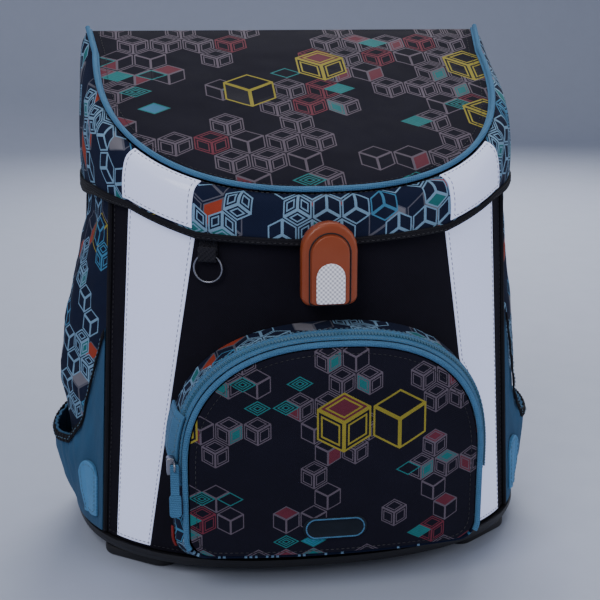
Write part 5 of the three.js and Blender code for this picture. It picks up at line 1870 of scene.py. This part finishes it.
class SATCHEL_OT_back_pad(SatchelOperator, bpy.types.Operator):
    """Makes the padded back with its channels, its edge and the carrying handle"""

    bl_idname = "satchel.back_pad"
    bl_label = "Back pad and handle"

    def execute(self, context):
        finish, padding = finishes(), settings("padding")
        low, high = (np.array(corner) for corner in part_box("back_pad"))
        pad = self.cushion("back_pad_cushion", finish.black_mesh(), low, high)
        back = low[1]
        inflate(pad, lambda point: point[1] < back + 0.002, padding.swell)
        self.channels(pad, low, high)
        finish_piece(pad, "black_trim", "back_pad", fill=0.8)
        half = HANDLE_WIDTH / 2
        seat = BACK + 2 * GAP
        route = (
            (-half, seat, HANDLE_Z), (-half, seat + HANDLE_REACH * 0.3, HANDLE_Z),
            (-half * 0.78, seat + HANDLE_REACH * 0.86, HANDLE_Z), (0, seat + HANDLE_REACH, HANDLE_Z),
            (half * 0.78, seat + HANDLE_REACH * 0.86, HANDLE_Z), (half, seat + HANDLE_REACH * 0.3, HANDLE_Z),
            (half, seat, HANDLE_Z),
        )
        path = smooth_path(route, 90)
        share = np.abs(np.linspace(-1, 1, 90))
        radius = HANDLE_RADIUS * (0.72 + 0.3 * (1 - np.clip((share - 0.45) / 0.15, 0, 1)))
        handle = cord("handle_grip", path, radius, finish.black_webbing(), sides=16, flat=0.85)
        finish_piece(handle, "black_trim", "handle", fill=0.9)
        outline = rounded_box(9, 14, 2)
        for label, side in SIDES:
            form = slab(outline, 1.2, (side * half, BACK + 0.9, HANDLE_Z), (-1, 0, 0), (0, 0, 1))
            plate = moulded(f"handle_anchor_{label}", form, finish.black_webbing(), edge=0.0004)
            finish_piece(plate, "black_trim")
        return {"FINISHED"}

    def cushion(self, name, material, low, high):
        """A closed pad with a fine even mesh and round corners in the pad's box, thinner at its rim."""
        columns, rows = 60, 84
        size, middle = high - low, (low + high) / 2
        half = size[[0, 2]] / 2
        core = half - PAD_CORNER
        points, uv = [], []
        for front in (True, False):
            for j in range(rows + 1):
                for i in range(columns + 1):
                    flat = np.array((2 * i / columns - 1, 2 * j / rows - 1)) * half
                    inside = min((half - np.abs(flat)).min() / PAD_RIM, 1)
                    beyond = np.maximum(np.abs(flat) - core, 0)
                    if beyond.any():
                        rounded = beyond * beyond.max() / np.linalg.norm(beyond)
                        flat = np.sign(flat) * (np.minimum(np.abs(flat), core) + rounded)
                    thick = (size[1] - PAD_SWELL_ROOM) * (0.3 + 0.7 * math.sin(inside * math.pi / 2))
                    depth = low[1] + (thick if front else 0)
                    points.append((middle[0] + flat[0], depth, middle[2] + flat[1]))
                    uv.append(tuple(flat))
        faces = grid_faces(columns, rows, (0, rows), (0, columns))
        return new_piece(name, points, faces, material, uv, sharp=75)

    def channels(self, pad, low, high):
        """Presses the sewn air channels into the pad's outer face."""
        middle, size = (low + high) / 2, high - low
        for vertex in pad.data.vertices:
            far, z = abs(vertex.co.x - middle[0]), vertex.co.z - low[2]
            height = vertex.co.y - low[1]
            if height < 0.004:
                continue
            dips = [
                dip(far - CHANNEL_SPINE, 0.003),
                dip(min(size[0] / 2 - far, z, size[2] - z) - 0.008, 0.002),
            ]
            if far > CHANNEL_SPINE + 0.004:
                slant = 0.18 * (far - CHANNEL_SPINE)
                dips += [dip(z + slant - size[2] * (0.14 + 0.18 * k), 0.003) for k in range(5)]
            vertex.co.y -= min(CHANNEL_DEPTH * max(dips), height - 0.002)
        pad.data.update()


def pillow(u, v, points):
    """The swell of a strap's padding, which falls off at its edges and its ends."""
    shape = np.clip(1 - np.abs(2 * u - 1) ** 4, 0, 1) ** 0.5
    ends = np.clip(np.minimum(v, 1 - v) * 26, 0, 1)
    return (STRAP_THICK / 2 - 1.2) * shape * np.sqrt(ends)


def strap_width(v):
    return lerp(STRAP_WIDTH, STRAP_END_WIDTH, np.clip((v - 0.55) / 0.45, 0, 1) ** 1.5)


def ribbon(route, width_at):
    """A flat band along a route, as a surface of two shares."""
    path = smooth_path(route, 400)
    across = np.cross(np.gradient(path, axis=0), (0, 1, 0))
    across /= np.linalg.norm(across, axis=1, keepdims=True)
    at = np.linspace(0, 1, 400)

    def surface(u, v):
        u, v = np.broadcast_arrays(np.asarray(u, float), np.asarray(v, float))
        return points_at(path, at, v) + points_at(across, at, v) * ((u - 0.5) * width_at(v))[..., None]

    return surface


class SATCHEL_OT_straps(SatchelOperator, bpy.types.Operator):
    """Makes the padded shoulder straps, their webbing and their adjusters"""

    bl_idname = "satchel.straps"
    bl_label = "Shoulder straps"

    def execute(self, context):
        for label, side in SIDES:
            self.pad(finishes(), label, side)
            self.webbing(finishes(), label, side)
        return {"FINISHED"}

    def pad(self, finish, label, side):
        """The padded strap with its binding and its two seams."""
        surface = ribbon([strap_point(side, *row) for row in STRAP_ROUTE], strap_width)
        pad = shell(
            f"strap_pad_{label}", surface, (18, 110), -0.6, 0.6, finish.black_mesh(), edge=0,
            heart=STRAP_HEART, relief=pillow, back_relief=lambda u, v, points: -pillow(u, v, points),
        )
        rim = self.edge_points(surface)
        nearest = lambda point: np.min(np.linalg.norm(rim - point, axis=1))
        inflate(pad, lambda point: nearest(point) < 0.0035, settings("padding").swell * 0.4)
        finish_piece(pad, "black_trim", f"strap_{label}", fill=0.85)
        tapes = [tube(surface(share, line(count=120)), 1.5, sides=8) for share in (0.0, 1.0)]
        lines = [
            seam(surface, share, line(0.02, 0.98, 200), 0.9, STRAP_HEART, relief=pillow)
            for share in (0.07, 0.93)
        ]
        tape = moulded(f"strap_binding_{label}", join(tapes), finish.black_tape(), sharp=70)
        finish_piece(tape, "black_trim")
        stitches(f"strap_stitches_{label}", lines, finish.thread("dark"), "black_trim")

    def edge_points(self, surface):
        edges = [surface(share, line(count=150)) for share in (0.0, 1.0)]
        ends = [surface(line(count=40), share) for share in (0.0, 1.0)]
        return to_row(np.concatenate(edges + ends))

    def webbing(self, finish, label, side):
        """The webbing from the satchel's foot up to its adjuster, the adjuster and the fold it holds."""
        x, y, z = strap_point(side, *STRAP_ROUTE[-1])
        top = z - 20 - STRAP_THICK * 0.35 - LAP
        flat = BACK + GAP + WEBBING / 2
        route = (
            (x, y - 2, top), (x, y - 2, top - 3),
            (x + side * 4, lerp(flat, y, 0.6), lerp(PANEL_FOOT, top, 0.72)),
            (x + side * 12, lerp(flat, y, 0.16), lerp(PANEL_FOOT, top, 0.42)),
            (x + side * 17, flat, lerp(PANEL_FOOT, top, 0.26)),
            (x + side * 20, flat, lerp(PANEL_FOOT, top, 0.1)),
        )
        tape = shell(
            f"strap_webbing_{label}_tape", ribbon(route, level(STRAP_WEBBING)), (8, 80), -WEBBING / 2,
            WEBBING / 2, finish.black_webbing(), heart=STRAP_HEART, edge=0.0003,
        )
        finish_piece(tape, "black_trim", f"strap_webbing_{label}")
        low, high = ((np.array(corner) - ORIGIN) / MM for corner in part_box(f"adjuster_{label}"))
        middle, half = (low + high) / 2, (high - low) / 2
        outline = rounded_box(half[0] - 2.2, half[2] - 2.2, 3.5)
        parts = [tube([middle + (px, 0, pz) for px, pz in outline], 2.1, closed=True, up=(0, 1, 0))]
        for share in (-0.32, 0.32):
            bar = [middle + (s * (half[0] - 2.4), 0, share * half[2]) for s in (-1, -0.3, 0.3, 1)]
            parts.append(tube(bar, 1.5, sides=8))
        buckle = moulded(f"adjuster_{label}_buckle", join(parts), finish.plastic(), sharp=50)
        finish_piece(buckle, "black_plastic", f"adjuster_{label}")
        outline = rounded_box(STRAP_WEBBING / 2, 5.5, 1)
        form = slab(outline, 1.4, middle + (0, 2.4, -0.2 * half[2]), (-1, 0, 0), (0, 0, 1))
        fold = moulded(f"adjuster_{label}_webbing", form, finish.black_webbing(), edge=0.0004)
        finish_piece(fold, "black_trim")


# Name, place, size and share of the key light's power.
LIGHTS = (
    ("key_light", (-0.9, -1.3, 1.5), 1.2, 1.0),
    ("fill_light", (1.5, -0.9, 0.9), 1.6, 0.45),
    ("top_light", (0.1, 0.6, 1.9), 1.4, 0.6),
    ("back_light", (0.5, 1.5, 1.2), 1.4, 1.3),
)
LIT_POINT = Vector((0, 0, 0.18))
# Half the floor's width, where it begins and ends, the bend that follows and the wall's height.
FLOOR_HALF, FLOOR_FRONT, FLOOR_BACK, FLOOR_BEND, WALL_TOP = 4.0, -4.0, 2.2, 0.6, 3.5
ROOM_TONE, ROOM_STRENGTH = (0.72, 0.77, 0.9, 1), 0.35


class SATCHEL_OT_stage(SatchelOperator, bpy.types.Operator):
    """Sets the floor, the lights and the camera"""

    bl_idname = "satchel.stage"
    bl_label = "Stage"

    def execute(self, context):
        stage, scene = settings("stage"), bpy.context.scene
        profile = [(FLOOR_FRONT, 0.0), (FLOOR_BACK, 0.0)]
        for angle in np.linspace(0.1, math.pi / 2, 12):
            rise = FLOOR_BEND - FLOOR_BEND * math.cos(angle)
            profile.append((FLOOR_BACK + FLOOR_BEND * math.sin(angle), rise))
        profile.append((FLOOR_BACK + FLOOR_BEND, WALL_TOP))
        points = [(x, y, z) for y, z in profile for x in (-FLOOR_HALF, FLOOR_HALF)]
        faces = [(2 * i, 2 * i + 1, 2 * i + 3, 2 * i + 2) for i in range(len(profile) - 1)]
        mesh = bpy.data.meshes.new("studio_floor")
        mesh.from_pydata(points, [], faces)
        set_faces(mesh, "use_smooth", True)
        mesh.materials.append(finishes().floor())
        add_object("studio_floor", mesh)
        for name, spot, size, share in LIGHTS:
            lamp = bpy.data.lights.new(name, "AREA")
            lamp.shape = "DISK"
            lamp.size = size
            lamp.energy = stage.key * share
            light = add_object(name, lamp)
            light.location = spot
            light.rotation_euler = (LIT_POINT - Vector(spot)).to_track_quat("-Z", "Y").to_euler()
        world = bpy.data.worlds.new("studio")
        world.use_nodes = True
        background = world.node_tree.nodes["Background"]
        background.inputs["Color"].default_value = ROOM_TONE
        background.inputs["Strength"].default_value = ROOM_STRENGTH
        scene.world = world
        camera = add_object("camera", bpy.data.cameras.new("camera"))
        camera.data.lens = stage.lens
        camera.location = stage.place
        camera.rotation_euler = (math.radians(stage.pitch), 0, math.radians(stage.yaw))
        scene.camera = camera
        return {"FINISHED"}


class SATCHEL_PT_panel(bpy.types.Panel):
    """The satchel's pieces and settings"""

    bl_idname = "SATCHEL_PT_panel"
    bl_label = "School Satchel"
    bl_space_type = "VIEW_3D"
    bl_region_type = "UI"
    bl_category = "Satchel"

    def draw(self, context):
        layout = self.layout
        for group in GROUPS:
            box = layout.box()
            box.label(text=group.__doc__)
            values = settings(GROUPS[group])
            for key in group.__annotations__:
                box.prop(values, key)
        for operator in OPERATORS:
            layout.operator(operator.bl_idname)


GROUPS = {
    SatchelCloth: "cloth",
    SatchelPrint: "print",
    SatchelSeams: "seams",
    SatchelPadding: "padding",
    SatchelStage: "stage",
}
OPERATORS = (
    SATCHEL_OT_stage,
    SATCHEL_OT_case,
    SATCHEL_OT_base,
    SATCHEL_OT_side_pockets,
    SATCHEL_OT_lid,
    SATCHEL_OT_reflectors,
    SATCHEL_OT_clasp,
    SATCHEL_OT_front_pocket,
    SATCHEL_OT_zip,
    SATCHEL_OT_key_ring,
    SATCHEL_OT_back_pad,
    SATCHEL_OT_straps,
)


def register():
    for group in (*GROUPS, *OPERATORS, SATCHEL_PT_panel):
        bpy.utils.register_class(group)
    for group, name in GROUPS.items():
        setattr(bpy.types.Scene, "satchel_" + name, PointerProperty(type=group))


def unregister():
    for name in GROUPS.values():
        delattr(bpy.types.Scene, "satchel_" + name)
    for group in (SATCHEL_PT_panel, *reversed(OPERATORS), *GROUPS):
        bpy.utils.unregister_class(group)


def main():
    register()
    for operator in OPERATORS:
        family, name = operator.bl_idname.split(".")
        getattr(getattr(bpy.ops, family), name)()


if __name__ == "__main__":
    main()
